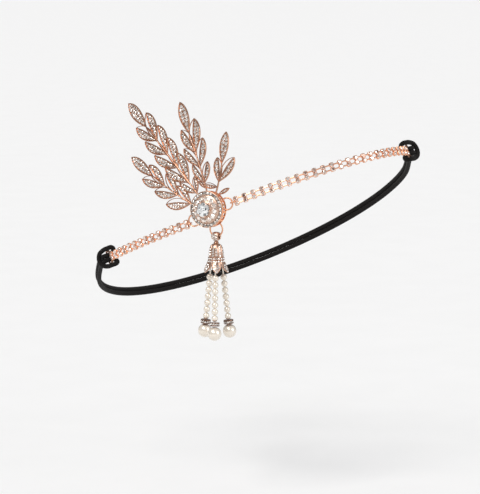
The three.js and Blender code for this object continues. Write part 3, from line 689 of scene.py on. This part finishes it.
def galleryWindows():
    half = math.degrees(gallery["narrow"] / 2 / (gallery["radius"] - gallery["wall"] / 2))
    spans = [(at - half, at + half) for at in gallery["narrowAt"]]
    for ring in rings.values():
        spans.append((ring["at"] - ring["low"], ring["at"] - gallery["strutHalf"]))
        spans.append((ring["at"] + gallery["strutHalf"], ring["at"] + ring["high"]))
    return [(low % 360, low % 360 + high - low) for low, high in spans]


def galleryShape():
    spans = galleryWindows()
    edges = {round(edge % 360, 3) for span in spans for edge in span}

    def isClear(degrees):
        return all(abs((degrees - edge + 180) % 360 - 180) > gallery["clear"] for edge in edges)

    angles = sorted(edges | {degrees for degrees in range(0, 360, gallery["step"]) if isClear(degrees)})
    count, sides = len(angles), len(wallRows)
    points = [polar(r, a, z) for a in angles for r, z in wallRows]
    outLow, outHigh, inHigh, inLow = [wallRows.index(row) for row in (
        (gallery["radius"], gallery["sill"]), (gallery["radius"], gallery["head"]),
        (insideRadius, gallery["head"]), (insideRadius, gallery["sill"]))]

    def isWindow(k):
        middle = (angles[k] + (angles[(k + 1) % count] - angles[k]) % 360 / 2) % 360
        return any((middle - low) % 360 < high - low for low, high in spans)

    faces = []
    for k in range(count):
        a, b = k * sides, (k + 1) % count * sides
        for n in range(sides):
            j = (n + 1) % sides
            if not (isWindow(k) and n in (outLow, inHigh)):
                faces.append((a + n, a + j, b + j, b + n))
        if isWindow(k):  # sill and head
            faces.append((a + outLow, b + outLow, b + inLow, a + inLow))
            faces.append((a + outHigh, b + outHigh, b + inHigh, a + inHigh))
        if isWindow(k) != isWindow(k - 1):  # a side
            faces.append((a + outLow, a + outHigh, a + inHigh, a + inLow))
    return points, faces


def setHalo():
    for k, degrees in enumerate(around(halo["count"], 0.5)):
        spot = Matrix.Translation(polar(halo["at"], degrees, halo["level"]))
        haloStones.append((cluster @ spot @ turnAbout("Z", halo["spin"] * k), halo["stone"]))
        behind = polar(halo["seatAt"], degrees, halo["seatLevel"])
        stoneBacks.append((cluster @ facing(-upward, behind), drillShare * halo["stone"]))
        for radius in halo["beadsAt"]:  # bead prongs either side of each gap
            bead = polar(radius, 360 * k / halo["count"], halo["beadLevel"])
            seatBeads.append((cluster @ Matrix.Translation(bead), halo["bead"]))


def setInnerRing():
    slope = math.atan2(cone["topLevel"] - cone["footLevel"], cone["foot"] - cone["top"])

    def coneLevel(radius):
        return cone["footLevel"] + (cone["foot"] - radius) * math.tan(slope)

    outPart, upPart = innerRing["seatNormal"]
    for k, degrees in enumerate(around(innerRing["count"])):
        normal = polar(sin(slope), degrees, cos(slope))
        spot = polar(innerRing["at"], degrees, coneLevel(innerRing["at"])) + normal * innerRing["raised"]
        innerStones.append((cluster @ facing(normal, spot, innerRing["spin"] * k), innerRing["stone"]))
        behind = polar(innerRing["seatAt"], degrees, innerRing["seatLevel"])
        back = facing(polar(outPart, degrees, upPart), behind)
        stoneBacks.append((cluster @ back, drillShare * innerRing["stone"]))
        for radius in innerRing["beadsAt"]:
            level = coneLevel(radius) + innerRing["beadRaised"]
            bead = polar(radius, degrees + 180 / innerRing["count"], level)
            seatBeads.append((cluster @ Matrix.Translation(bead), innerRing["bead"]))


def clawShapes():
    made = []
    for degrees in around(claws["count"], 0.5):
        path = [polar(claws["at"] - inwards, degrees, level) for inwards, level in claws["path"]]
        made.append(swept(path, lambda s: claws["width"] * (claws["footShare"] - claws["thins"] * s), 8))
    return made


def makeCluster():
    wires = []
    for row in seatWires:
        path = [polar(row["at"], degrees, row["level"]) for degrees in around(90)]
        wires.append(swept(path, row["radius"], 8, True, upward))
    makePiece("clusterGallery", moved(galleryShape(), cluster), wallGold, "headband", (), 32)
    stoneSeat = together([turned(seatRows, 90, True)] + wires + clawShapes())
    makePiece("stoneSeat", moved(stoneSeat, cluster), paleGold, "headband", (), 32)
    setHalo()
    setInnerRing()
    setOnPoints("haloStones", cutStone(), haloStones, greyCrystal, "headband", seed=13)
    setOnPoints("innerStones", cutStone(), innerStones, brightCrystal, "headband", seed=19)
    setOnPoints("seatBeads", roundBead(), seatBeads, paleGold, "headband", angle=180)
    place = cluster @ lifted(mainStone["girdleAt"]) @ turnAbout("Z", mainStone["spin"])
    brilliant = cutStone(mainStone["table"], mainStone["crown"] / mainStone["girdle"], mainStone["depth"])
    setOnPoints("mainStone", brilliant, [(place, mainStone["girdle"])], mainCrystal, "headband",
                ("main_stone",), seed=3)


makeCluster()


# Jump rings, bent from wire with the slit where they close

ringWire = {"thick": 0.9, "slitHalf": 0.12, "steps": 56, "sides": 12, "level": 1.5}


def ringRadius(ring):
    return (ring["outside"] - ringWire["thick"]) / 2


def ringFrame(ring, direction):
    strut = polar(gallery["radius"] - gallery["wall"] / 2, ring["at"], ringWire["level"])
    turn = turnAbout("Z", direction) @ turnAbout("Y", ring["dip"])
    reach = ringRadius(ring) - ring["strutGap"]
    return Matrix.Translation(strut) @ turn @ Matrix.Translation((reach, 0, 0))


def ringShape(ring):
    radius = ringRadius(ring)
    gap = math.degrees(ringWire["slitHalf"] / radius)
    path = [polar(radius, ring["slitAt"] + gap + (360 - 2 * gap) * s) for s in shares(ringWire["steps"])]
    return swept(path, ringWire["thick"] / 2, ringWire["sides"], up=upward)


for ringName in ("front", "back"):
    ring = rings[ringName]
    shape = moved(ringShape(ring), cluster @ ringFrame(ring, ring["at"]))
    makePiece(ringName + "Ring", shape, roseGold, "headband", ("ring_" + ringName,))

downward = cluster.to_3x3().inverted() @ -upward
downAngle = math.degrees(math.atan2(downward.y, downward.x))
dropRing = cluster @ ringFrame(rings["drop"], downAngle)
dropShape = moved(ringShape(rings["drop"]), dropRing)
makePiece("dropRing", dropShape, roseGold, "drop_link", ("drop_ring",))
print("jump rings made")


# Two-row cup chains

chains = {
    "front": {"pairs": 25, "liftEnd": -0.4, "settle": 14, "way": -1, "endAngle": 333},
    "back": {"pairs": 14, "liftEnd": 1.1, "settle": 14, "way": 1, "endAngle": 126},
}
chainPair = {"pitch": 5.06, "rows": 2.66, "fromRing": 2.17, "stone": 1.27, "stoneLevel": 0.3, "spin": 37}
chainCup = {"sides": 20, "rows": [(0, -1.0), (1.0, -1.0), (1.28, -0.88), (1.36, -0.6), (1.36, 0.18),
                                  (1.3, 0.3), (1.16, 0.28), (1.1, 0.05), (0, 0.0)]}
cupClaw = {"count": 4, "width": 0.27, "thins": 0.1,
           "path": [(1.3, -0.5), (1.36, 0.2), (1.24, 0.56), (0.92, 0.7)]}  # radius, level
cupBridge = {"halfWidth": 0.5, "halfLength": 0.6, "bottom": -0.85, "top": -0.1}
rail = {"radius": 0.42, "level": -0.45}
chainEye = {"at": -2, "radius": 1.3, "wire": 0.38, "steps": 24}
endLoop = {"wire": 0.55, "half": [(0.6, 2.2), (2.4, 3.5), (4.6, 3.3), (5.2, 2.0)]}  # along, across
chainEnds, pairSpots, chainStones = {}, [], []


def smoothPath(points, steps, closed=False):
    # a smooth curve through the points, without loops where they lie close together
    count = len(points)

    def at(k):
        if closed:
            return points[k % count]
        if k < 0:
            return points[0] * 2 - points[1]
        return points[k] if k < count else points[-1] * 2 - points[-2]

    made = []
    for k in range(count if closed else count - 1):
        p = [at(k - 1), at(k), at(k + 1), at(k + 2)]
        gaps = [max((b - a).length, 1e-4) ** 0.5 for a, b in zip(p, p[1:])]
        slopes = []
        for n in (0, 1):
            change = (p[n + 1] - p[n]) / gaps[n] - (p[n + 2] - p[n]) / (gaps[n] + gaps[n + 1])
            slopes.append((change + (p[n + 2] - p[n + 1]) / gaps[n + 1]) * gaps[1])
        for n in range(steps):
            t = n / steps
            made.append(p[1] * (2 * t ** 3 - 3 * t ** 2 + 1) + slopes[0] * (t ** 3 - 2 * t ** 2 + t)
                        + p[2] * (3 * t ** 2 - 2 * t ** 3) + slopes[1] * (t ** 3 - t ** 2))
    return made if closed else made + [points[-1].copy()]


def chainFrames(name, chain):
    ring = rings[name]
    start = clusterInBand @ ringFrame(ring, ring["at"]) @ Vector((ringRadius(ring), 0, 0))
    angle = nearestAngle(start, seat["angle"])
    outStart = (Vector((start.x, start.y, 0)) - loopPoint(angle)).dot(loopNormal(angle))
    length = chainPair["fromRing"] + (chain["pairs"] - 1) * chainPair["pitch"]

    def place(distance):
        degrees = walkLoop(angle, chain["way"] * distance) if distance > 0 else angle
        spot = loopPoint(degrees) + loopNormal(degrees) * (outStart * math.exp(-distance / chain["settle"]))
        spot.z = lerp(start.z, chain["liftEnd"], distance / length)
        return spot

    frames = []
    for k in range(chain["pairs"]):
        distance = chainPair["fromRing"] + k * chainPair["pitch"]
        along = (place(distance + 0.5) - place(distance - 0.5)).normalized()
        outward = (upward.cross(along) * chain["way"]).normalized()
        frames.append((place(distance), along, (along.cross(outward) * chain["way"]).normalized(), outward))
    return frames


def inFrame(chainFrame, along, across, out):
    spot, x, y, z = chainFrame
    return spot + x * along + y * across + z * out


def cupPair():  # two straight cups with four claws each, soldered side by side
    cup = turned(chainCup["rows"], chainCup["sides"])
    claw = swept([Vector((radius, 0, level)) for radius, level in cupClaw["path"]],
                 lambda s: cupClaw["width"] - cupClaw["thins"] * s, 6)
    made = []
    for side in (-1, 1):
        place = Matrix.Translation((0, side * chainPair["rows"] / 2, 0))
        made.append(moved(cup, place))
        made += [moved(claw, place @ turnAbout("Z", degrees)) for degrees in around(cupClaw["count"], 0.5)]
    wide, bottom, top = cupBridge["halfWidth"], cupBridge["bottom"], cupBridge["top"]
    corners = [(-wide, bottom), (wide, bottom), (wide, top), (-wide, top)]
    ends = -cupBridge["halfLength"], cupBridge["halfLength"]
    made.append(lofted([[Vector((x, y, z)) for x, z in corners] for y in ends]))
    return together(made)


def makeChain(name, chain):
    frames = chainFrames(name, chain)
    chainEnds[name] = frames[-1]
    made = []
    for side in (-1, 1):
        path = [inFrame(f, 0, side * chainPair["rows"] / 2, rail["level"]) for f in frames]
        made.append(swept(smoothPath(path, 4), rail["radius"], 8))
    eye = [polar(chainEye["radius"], degrees) for degrees in around(chainEye["steps"])]
    eye = [inFrame(frames[0], chainEye["at"] + p.x, 0, p.y) for p in eye]
    made.append(swept(eye, chainEye["wire"], 10, closed=True))
    half = [inFrame(frames[-1], along, across, 0) for along, across in endLoop["half"]]
    half += [inFrame(frames[-1], along, -across, 0) for along, across in reversed(endLoop["half"])]
    made.append(swept(smoothPath(half, 5), endLoop["wire"], 10))
    rails = moved(together(made), band)
    makePiece(name + "ChainRails", rails, roseGold, "headband", ("chain_" + name,))
    for spot, x, y, z in frames:
        y = z.cross(x)  # right-handed; the pair is the same either way up
        pairSpots.append((band @ basis(x, y, z, spot), 1.0))
        for side in (-1, 1):
            stone = spot + y * (side * chainPair["rows"] / 2) + z * chainPair["stoneLevel"]
            place = basis(x, y, z, stone) @ turnAbout("Z", chainPair["spin"] * len(chainStones))
            chainStones.append((band @ place, chainPair["stone"]))


for chainName, chainRow in chains.items():
    makeChain(chainName, chainRow)
setOnPoints("chainCups", cupPair(), pairSpots, roseGold, "headband", angle=40)
setOnPoints("chainStones", cutStone(), chainStones, warmCrystal, "headband", seed=5)
setOnPoints("sprayStones", cutStone(), stones, smallCrystal, "headband", seed=11)
setOnPoints("beadProngs", roundBead(), beads, leafGold, "headband", angle=180)
setOnPoints("seatCollars", seatCollar(), stoneBacks, leafGold, "headband", angle=60)
setOnPoints("stonePoints", stonePoint(), stoneBacks, smallCrystal, "headband", seed=17)


# Elastic, doubled round the back and hitched on the chain ends

elastic = {"radius": 1.34, "strand": 1.35, "sides": 14, "dip": 17, "dipPower": 0.8, "arcSteps": 13,
           "tail": 20, "stepsPerPoint": 9}
hitch = [(12, 1.35, 0.4), (8.6, 1.35, 0.95), (5.3, 1.35, 2.2), (3.1, 1.35, 0.3), (2.9, 1.7, -1.9),
         (1.5, 2.9, -2.8), (0, 4.2, -2.2), (-0.7, 4.9, -0.6), (0.8, 4.9, 0.9), (4, 4.8, 2),
         (7, 3.4, 3.5)]  # along, across, out
bight = (8.5, 0, 4.1)


def elasticPath():
    back, front = chainEnds["back"], chainEnds["front"]
    start = walkLoop(nearestAngle(back[0], chains["back"]["endAngle"]), elastic["tail"])
    stop = walkLoop(nearestAngle(front[0], chains["front"]["endAngle"]), -elastic["tail"])

    def hitchOn(end, side):
        return [inFrame(end, along, side * across, out) for along, across, out in hitch]

    def arc(side):
        spots = []
        for share in shares(elastic["arcSteps"]):
            spot = loopPoint(lerp(start, stop, share))
            sag = elastic["dip"] * sin(pi * share) ** elastic["dipPower"] if 0 < share < 1 else 0
            spot.z = lerp(back[0].z, front[0].z, share) - sag + side * elastic["strand"]
            spots.append(spot)
        return spots

    points = ([inFrame(back, *bight)] + hitchOn(back, 1)[::-1] + arc(1) + hitchOn(front, 1)
              + [inFrame(front, *bight)] + hitchOn(front, -1)[::-1] + arc(-1)[::-1] + hitchOn(back, -1))
    return smoothPath(points, elastic["stepsPerPoint"], True)


def makeElastic():
    path = elasticPath()
    shape = swept(path, elastic["radius"], elastic["sides"], closed=True)
    mesh = plainMesh("elasticLoop", moved(shape, band))
    mesh.shade_smooth()
    lengths = [0.0]
    for a, b in zip(path, path[1:] + path[:1]):
        lengths.append(lengths[-1] + (b - a).length)
    sides, count = elastic["sides"], len(path)
    layout = mesh.uv_layers.new(name="cordMap")  # u in mm along the cord, v the angle round it
    for face in mesh.polygons:
        ringsHere = [mesh.loops[n].vertex_index // sides for n in face.loop_indices]
        turnsHere = [mesh.loops[n].vertex_index % sides for n in face.loop_indices]
        wraps = max(ringsHere) - min(ringsHere) > 1
        folds = max(turnsHere) - min(turnsHere) > 1 and not wraps
        for n, ringIndex, turnIndex in zip(face.loop_indices, ringsHere, turnsHere):
            u = lengths[count] if wraps and ringIndex == 0 else lengths[ringIndex]
            v = 2 * pi * (turnIndex + (sides if folds and turnIndex == 0 else 0)) / sides
            layout.data[n].uv = (u, v)
    finishPiece("elasticLoop", mesh, braidedElastic, "headband", ("elastic_loop",))
    print("elastic cord length in mm:", round(lengths[-1]))


makeElastic()


# Tassel: stone-set bail, bell with petals, three pearl strings. Levels are from the middle of the bail.

bail = {"overRing": 0.1, "sides": 40, "middle": 2.42,
        "half": [(1.35, 1.9), (1.6, 2.08), (1.95, 2.05), (2.25, 1.5), (2.4, 0.7)]}  # radius, place across
bailStones = {"count": 12, "apart": 1.1, "middleAt": 2.4, "sideAt": 2.32, "lean": 0.35, "size": 0.56,
              "spin": 20, "bareHalf": 40}
neckRows = [(0, -1.7), (1.0, -1.9), (1.25, -2.5), (0.95, -2.9), (1.3, -3.2), (1.5, -3.5), (1.3, -3.8),
            (0, -4.4)]
bellRows = [(0, -3.6), (0.7, -3.65), (1.25, -3.95), (2.0, -4.3), (2.7, -4.8), (3.2, -5.6), (3.55, -6.6),
            (3.8, -8.0), (3.95, -9.6), (4.05, -11.0), (4.1, -11.4), (4.45, -11.5), (4.55, -11.6),
            (4.35, -11.75), (4.35, -12.55), (4.55, -12.7), (4.35, -12.9), (4.6, -13.05), (4.7, -13.15),
            (4.5, -13.3), (4.5, -13.95), (4.72, -14.1), (3.2, -14.1), (3.15, -9), (2.4, -6.1), (0, -5.5)]
bellBands = [{"at": 4.38, "level": -12.15, "count": 18, "stone": 0.6, "spin": 20},
             {"at": 4.53, "level": -13.62, "count": 18, "stone": 0.64, "spin": 20}]
bellPetal = {"count": 6, "top": -4.9, "bottom": -11.1, "spread": 21, "power": 0.7, "rise": 0.4, "sunk": 0.05,
             "edgeSunk": 0.25, "arch": (0.06, 0.94), "steps": 10, "stoneLean": 0.15, "betweenSpin": 25,
             "onSpin": 31,
             "between": [(-5.5, 3.08, 0.46), (-6.6, 3.5, 0.54), (-7.8, 3.72, 0.6), (-9.1, 3.86, 0.64),
                         (-10.5, 3.98, 0.68)],
             "on": [(-7.0, 3.9, 0.5), (-8.4, 4.12, 0.6), (-9.9, 4.22, 0.55)]}  # stones: level, radius, size
skirt = {"count": 6, "length": 7, "half": 2.8, "root": 0.55, "belly": 1.25, "bellyAt": 0.6, "thick": 0.75,
         "thins": 0.12, "top": -13.4, "at": 3.7, "flare": 20, "bendRadius": 5.5, "hook": 0.12, "end": 0.985,
         "steps": 12, "inside": 0.05, "rim": 0.34, "rimLevel": 0.45, "rimEnd": 0.99, "rimSteps": 16,
         "stoneOver": 0.02, "spin": 31,
         "stones": [(0.88, 0, 0.72), (0.7, 0.42, 0.6), (0.7, -0.42, 0.6), (0.54, 0, 0.66), (0.5, 0.62, 0.58),
                    (0.5, -0.62, 0.58), (0.34, 0.3, 0.6), (0.34, -0.3, 0.6)]}  # down, across and size
pearlString = {"count": 3, "firstAt": -68, "top": -15.5, "topRadius": 3.55, "splay": 6.7, "firstPearl": 7.4,
               "pitch": 3.65, "pearls": 7, "radius": 1.8, "thread": 0.38, "threadBends": (0, 2, 4)}
pearlHole = [(0.12, 0.93), (0.2, 0.975)]  # the drilled end of a pearl, in its radii
pearlEnd = 0.968  # where the next piece on the thread meets a pearl, in its radii
rondelle = {"half": 1.1, "stones": 12, "stone": 0.7, "stoneAt": 2.5, "spin": 15, "sides": 36,
            "rows": [(2.3, 1.1), (2.75, 0.98), (2.8, 0.75), (2.35, 0.6)]}  # upper half
largePearl = {"radius": 3.8, "gap": 0.3}
tasselStones, rondelleStones = [], []

bailPoint = dropRing @ Vector((ringRadius(rings["drop"]) - bail["overRing"], 0, 0))
swingAxis = (dropRing.to_3x3() @ upward).normalized()
bailAxis = upward.cross(swingAxis).normalized()
tassel = basis(bailAxis, upward.cross(bailAxis), upward, bailPoint)


def bailShape():
    lying = turnAbout("Y", 90)
    for row in (-1, 0, 1):
        for k, degrees in enumerate(around(bailStones["count"], 0.5 * row)):
            if abs(degrees % 360 - 180) < bailStones["bareHalf"]:  # bare over the neck
                continue
            spot = polar(bailStones["sideAt" if row else "middleAt"], degrees, bailStones["apart"] * row)
            outward = polar(1, degrees, bailStones["lean"] * row)
            place = tassel @ lying @ facing(outward, spot, bailStones["spin"] * k)
            tasselStones.append((place, bailStones["size"]))
    rows = [(radius, -across) for radius, across in bail["half"]] + [(bail["middle"], 0)] + bail["half"][::-1]
    return moved(turned(rows, bail["sides"], True), lying)


def bellRadius(level):
    for (r, z), (nextR, nextZ) in zip(bellRows, bellRows[1:]):
        if nextZ <= level <= z:
            return lerp(r, nextR, (level - z) / (nextZ - z))


def setOnBell(rows, degrees, spin):
    for level, radius, size in rows:
        outward = polar(1, degrees, bellPetal["stoneLean"])
        tasselStones.append((tassel @ facing(outward, polar(radius, degrees, level), spin), size))


def bellPetals():  # six smooth raised petals on the bell, with small stones on them and between them
    made = []
    for k, middle in enumerate(around(bellPetal["count"])):
        sections = []
        for s in shares(bellPetal["steps"]):
            level = lerp(bellPetal["top"], bellPetal["bottom"], s)
            radius = bellRadius(level)
            edge = radius - bellPetal["edgeSunk"]
            spread = bellPetal["spread"] * sin(pi * lerp(*bellPetal["arch"], s)) ** bellPetal["power"]
            row = [polar(edge, middle - spread, level)]
            for v in (-0.9, -0.5, 0, 0.5, 0.9):
                height = bellPetal["rise"] * (1 - v * v) - bellPetal["sunk"]
                row.append(polar(radius + height, middle + spread * v, level))
            sections.append(row + [polar(edge, middle + spread, level)])
        made.append(lofted(sections))
        setOnBell(bellPetal["between"], middle + 180 / bellPetal["count"], bellPetal["betweenSpin"] * k)
        setOnBell(bellPetal["on"], middle, bellPetal["onSpin"] * k)
    return made


def skirtPetal(k, degrees):
    turn = turnAbout("Z", degrees) @ Matrix.Translation((skirt["at"], 0, skirt["top"]))
    turn = turn @ turnAbout("Y", -skirt["flare"])
    outward = (turn.to_3x3() @ Vector((1, 0, 0))).normalized()

    def spotAt(share, across, out):  # each side curves from root to point, out by the belly
        root, belly, point = (1 - share) ** 2, 2 * share * (1 - share), share ** 2
        side = across * (root * skirt["root"] + belly * skirt["belly"]) * skirt["half"]
        down = (belly * skirt["bellyAt"] + point) * skirt["length"]
        inwards = side * side / (2 * skirt["bendRadius"])
        return turn @ Vector((out - inwards + skirt["hook"] * down * share, side, -down))

    across = (-1, -0.5, 0, 0.5, 1)
    sections = []
    for s in shares(skirt["steps"]):
        inner = [spotAt(skirt["end"] * s, v, skirt["inside"]) for v in across]
        outer = [spotAt(skirt["end"] * s, v, skirt["thick"] - skirt["thins"] * abs(v)) for v in across[::-1]]
        sections.append(inner + outer)
    down = [skirt["rimEnd"] * s for s in shares(skirt["rimSteps"])]
    level = skirt["rimLevel"]
    edge = [spotAt(s, -1, level) for s in down] + [spotAt(s, 1, level) for s in down[::-1]]
    for share, side, size in skirt["stones"]:
        spot = spotAt(share, side, skirt["thick"] + skirt["stoneOver"])
        tasselStones.append((tassel @ facing(outward, spot, skirt["spin"] * k), size))
    return [lofted(sections), swept(edge, skirt["rim"], 8)]


def makeTasselHead():
    made = [bailShape(), turned(neckRows, 24), turned(bellRows, 60)] + bellPetals()
    for k, degrees in enumerate(around(skirt["count"])):
        made += skirtPetal(k, degrees)
    for row in bellBands:
        for k, degrees in enumerate(around(row["count"])):
            spot = polar(row["at"], degrees, row["level"])
            tasselStones.append((tassel @ facing(polar(1, degrees), spot, row["spin"] * k), row["stone"]))
    makePiece("tasselHead", moved(together(made), tassel), shadedTasselGold, "tassel",
              ("tassel_head",))


def drilledPearl():
    ball = [(sin(pi * k / 18), cos(pi * k / 18)) for k in range(2, 17)]
    lower = [(radius, -level) for radius, level in pearlHole[::-1]]
    level = pearlHole[0][1]
    return turned([(0, level)] + pearlHole + ball + lower + [(0, -level)], 28)


def rondelleShape():
    half = rondelle["half"]
    lower = [(radius, -level) for radius, level in rondelle["rows"]]
    return turned([(0, -half)] + lower + rondelle["rows"][::-1] + [(0, half)], rondelle["sides"])


def makePearlStrings():
    pearls, larges, threads, discs = [], [], [], []
    levels = [pearlString["firstPearl"] + n * pearlString["pitch"] for n in range(pearlString["pearls"])]
    discAt = -levels[-1] - pearlString["radius"] * pearlEnd - largePearl["gap"] - rondelle["half"]
    largeAt = discAt - rondelle["half"] - largePearl["gap"] - largePearl["radius"]
    for k in range(pearlString["count"]):
        degrees = pearlString["firstAt"] + 360 * k / pearlString["count"]
        top = polar(pearlString["topRadius"], degrees, pearlString["top"])
        strand = tassel @ Matrix.Translation(top) @ turnAbout("Z", degrees)
        strand = strand @ turnAbout("Y", -pearlString["splay"])
        pearls += [(strand @ lifted(-level), pearlString["radius"]) for level in levels]
        thread = [Vector((0, 0, -s)) for s in (*pearlString["threadBends"], levels[0], levels[-1])]
        threads.append(moved(swept(thread, pearlString["thread"], 8), strand))
        place = strand @ lifted(discAt)
        discs.append(moved(rondelleShape(), place))
        for n, turn in enumerate(around(rondelle["stones"])):
            stone = facing(polar(1, turn), polar(rondelle["stoneAt"], turn), rondelle["spin"] * n)
            rondelleStones.append((place @ stone, rondelle["stone"]))
        larges.append((strand @ lifted(largeAt), largePearl["radius"]))
    names = [[kind + str(k + 1) for k in range(pearlString["count"])]
             for kind in ("pearl_string_", "large_pearl_", "rondelle_")]
    setOnPoints("smallPearls", drilledPearl(), pearls, pearlCoating, "tassel", names[0], angle=180)
    setOnPoints("largePearls", drilledPearl(), larges, pearlCoating, "tassel", names[1], angle=180)
    makePiece("pearlThreads", together(threads), pearlCoating, "tassel")
    makePiece("rondelles", together(discs), darkRoseGold, "tassel", names[2])
    setOnPoints("rondelleStones", cutStone(), rondelleStones, greyCrystal, "tassel", seed=29)
    setOnPoints("tasselStones", cutStone(), tasselStones, smallCrystal, "tassel", seed=23)


makeTasselHead()
makePearlStrings()
print("tassel made")


# Camera, floor and light

imageSize = (480, 494)
view = {"azimuth": -56.5, "elevation": 6.07, "distance": 1400, "pixel": 0.579, "originAt": (250.67, 214.53),
        "sensor": 36}  # pixel in mm at the origin, and where the origin lies in the picture
floorSize = {"level": -150, "half": 2e5}
studio = {"tone": "#f7f7f8", "strength": 0.42}
lights = {  # from: towards the camera, to its right and up
    "key": {"from": (0.6, -0.5, 0.9), "spread": 28, "power": 1.85, "tone": "#fffcf8"},
    "fill": {"from": (0.5, 0.9, 0.4), "spread": 45, "power": 1.0, "tone": "#fcfdff"},
    "glint": {"from": (0.9, -0.25, 0.6), "spread": 12, "power": 0.35, "tone": "#ffffff"},
}


def makeCamera():
    azimuth, elevation = radians(view["azimuth"]), radians(view["elevation"])
    back = Vector((sin(azimuth) * cos(elevation), -cos(azimuth) * cos(elevation), sin(elevation)))
    right = Vector((cos(azimuth), sin(azimuth), 0))
    up = back.cross(right)
    across, down = view["originAt"]
    aim = (right * (imageSize[0] / 2 - across) + up * (down - imageSize[1] / 2)) * view["pixel"]
    spot = back * view["distance"]
    lens = bpy.data.cameras.new("camera")
    lens.sensor_width = view["sensor"]
    lens.lens = view["sensor"] * view["distance"] / view["pixel"] / max(imageSize)
    lens.clip_start, lens.clip_end = 0.05, 500
    camera = bpy.data.objects.new("camera", lens)
    scene.collection.objects.link(camera)
    z = -(aim - spot).normalized()
    x = upward.cross(z).normalized()
    camera.matrix_world = basis(x, z.cross(x), z, spot * mm)
    scene.camera = camera
    return back, right


def makeFloor():
    # matt backdrop paper, almost white
    material, tree, shader = newMaterial("paleBackdropPaper")
    spot = addNode(tree, "ShaderNodeTexCoord").outputs["Object"]
    fibre = addNode(tree, "ShaderNodeTexNoise", {"Vector": spot, "Scale": perSize(40), "Detail": 3})
    tone = addNode(tree, "ShaderNodeMix", {0: fibre.outputs[0], 6: linear("#f6f7f8"), 7: linear("#f2f3f4")},
                   data_type="RGBA")
    feed(tree, shader, {"Base Color": tone.outputs[2], "Roughness": 0.9})
    half, level = floorSize["half"], floorSize["level"]
    corners = [Vector((x * half, y * half, level)) * mm for x, y in ((-1, -1), (1, -1), (1, 1), (-1, 1))]
    mesh = bpy.data.meshes.new("floor")
    mesh.from_pydata(corners, [], [(0, 1, 2, 3)])
    mesh.materials.append(material)
    floor = bpy.data.objects.new("floor", mesh)
    scene.collection.objects.link(floor)


def makeLights(back, right):
    world = bpy.data.worlds.new("studio")
    world.use_nodes = True
    feed(world.node_tree, world.node_tree.nodes["Background"],
         {"Color": linear(studio["tone"]), "Strength": studio["strength"]})
    scene.world = world
    for name, light in lights.items():
        lamp = bpy.data.lights.new(name, "SUN")
        lamp.angle = radians(light["spread"])
        lamp.energy = light["power"]
        lamp.color = linear(light["tone"])[:3]
        item = bpy.data.objects.new(name, lamp)
        scene.collection.objects.link(item)
        towards, aside, up = light["from"]
        direction = back * towards + right * aside + upward * up
        item.matrix_world = facing(direction, direction)


viewBack, viewRight = makeCamera()
makeFloor()
makeLights(viewBack, viewRight)
scene.view_settings.view_transform = "Standard"
print("camera, floor and light made")
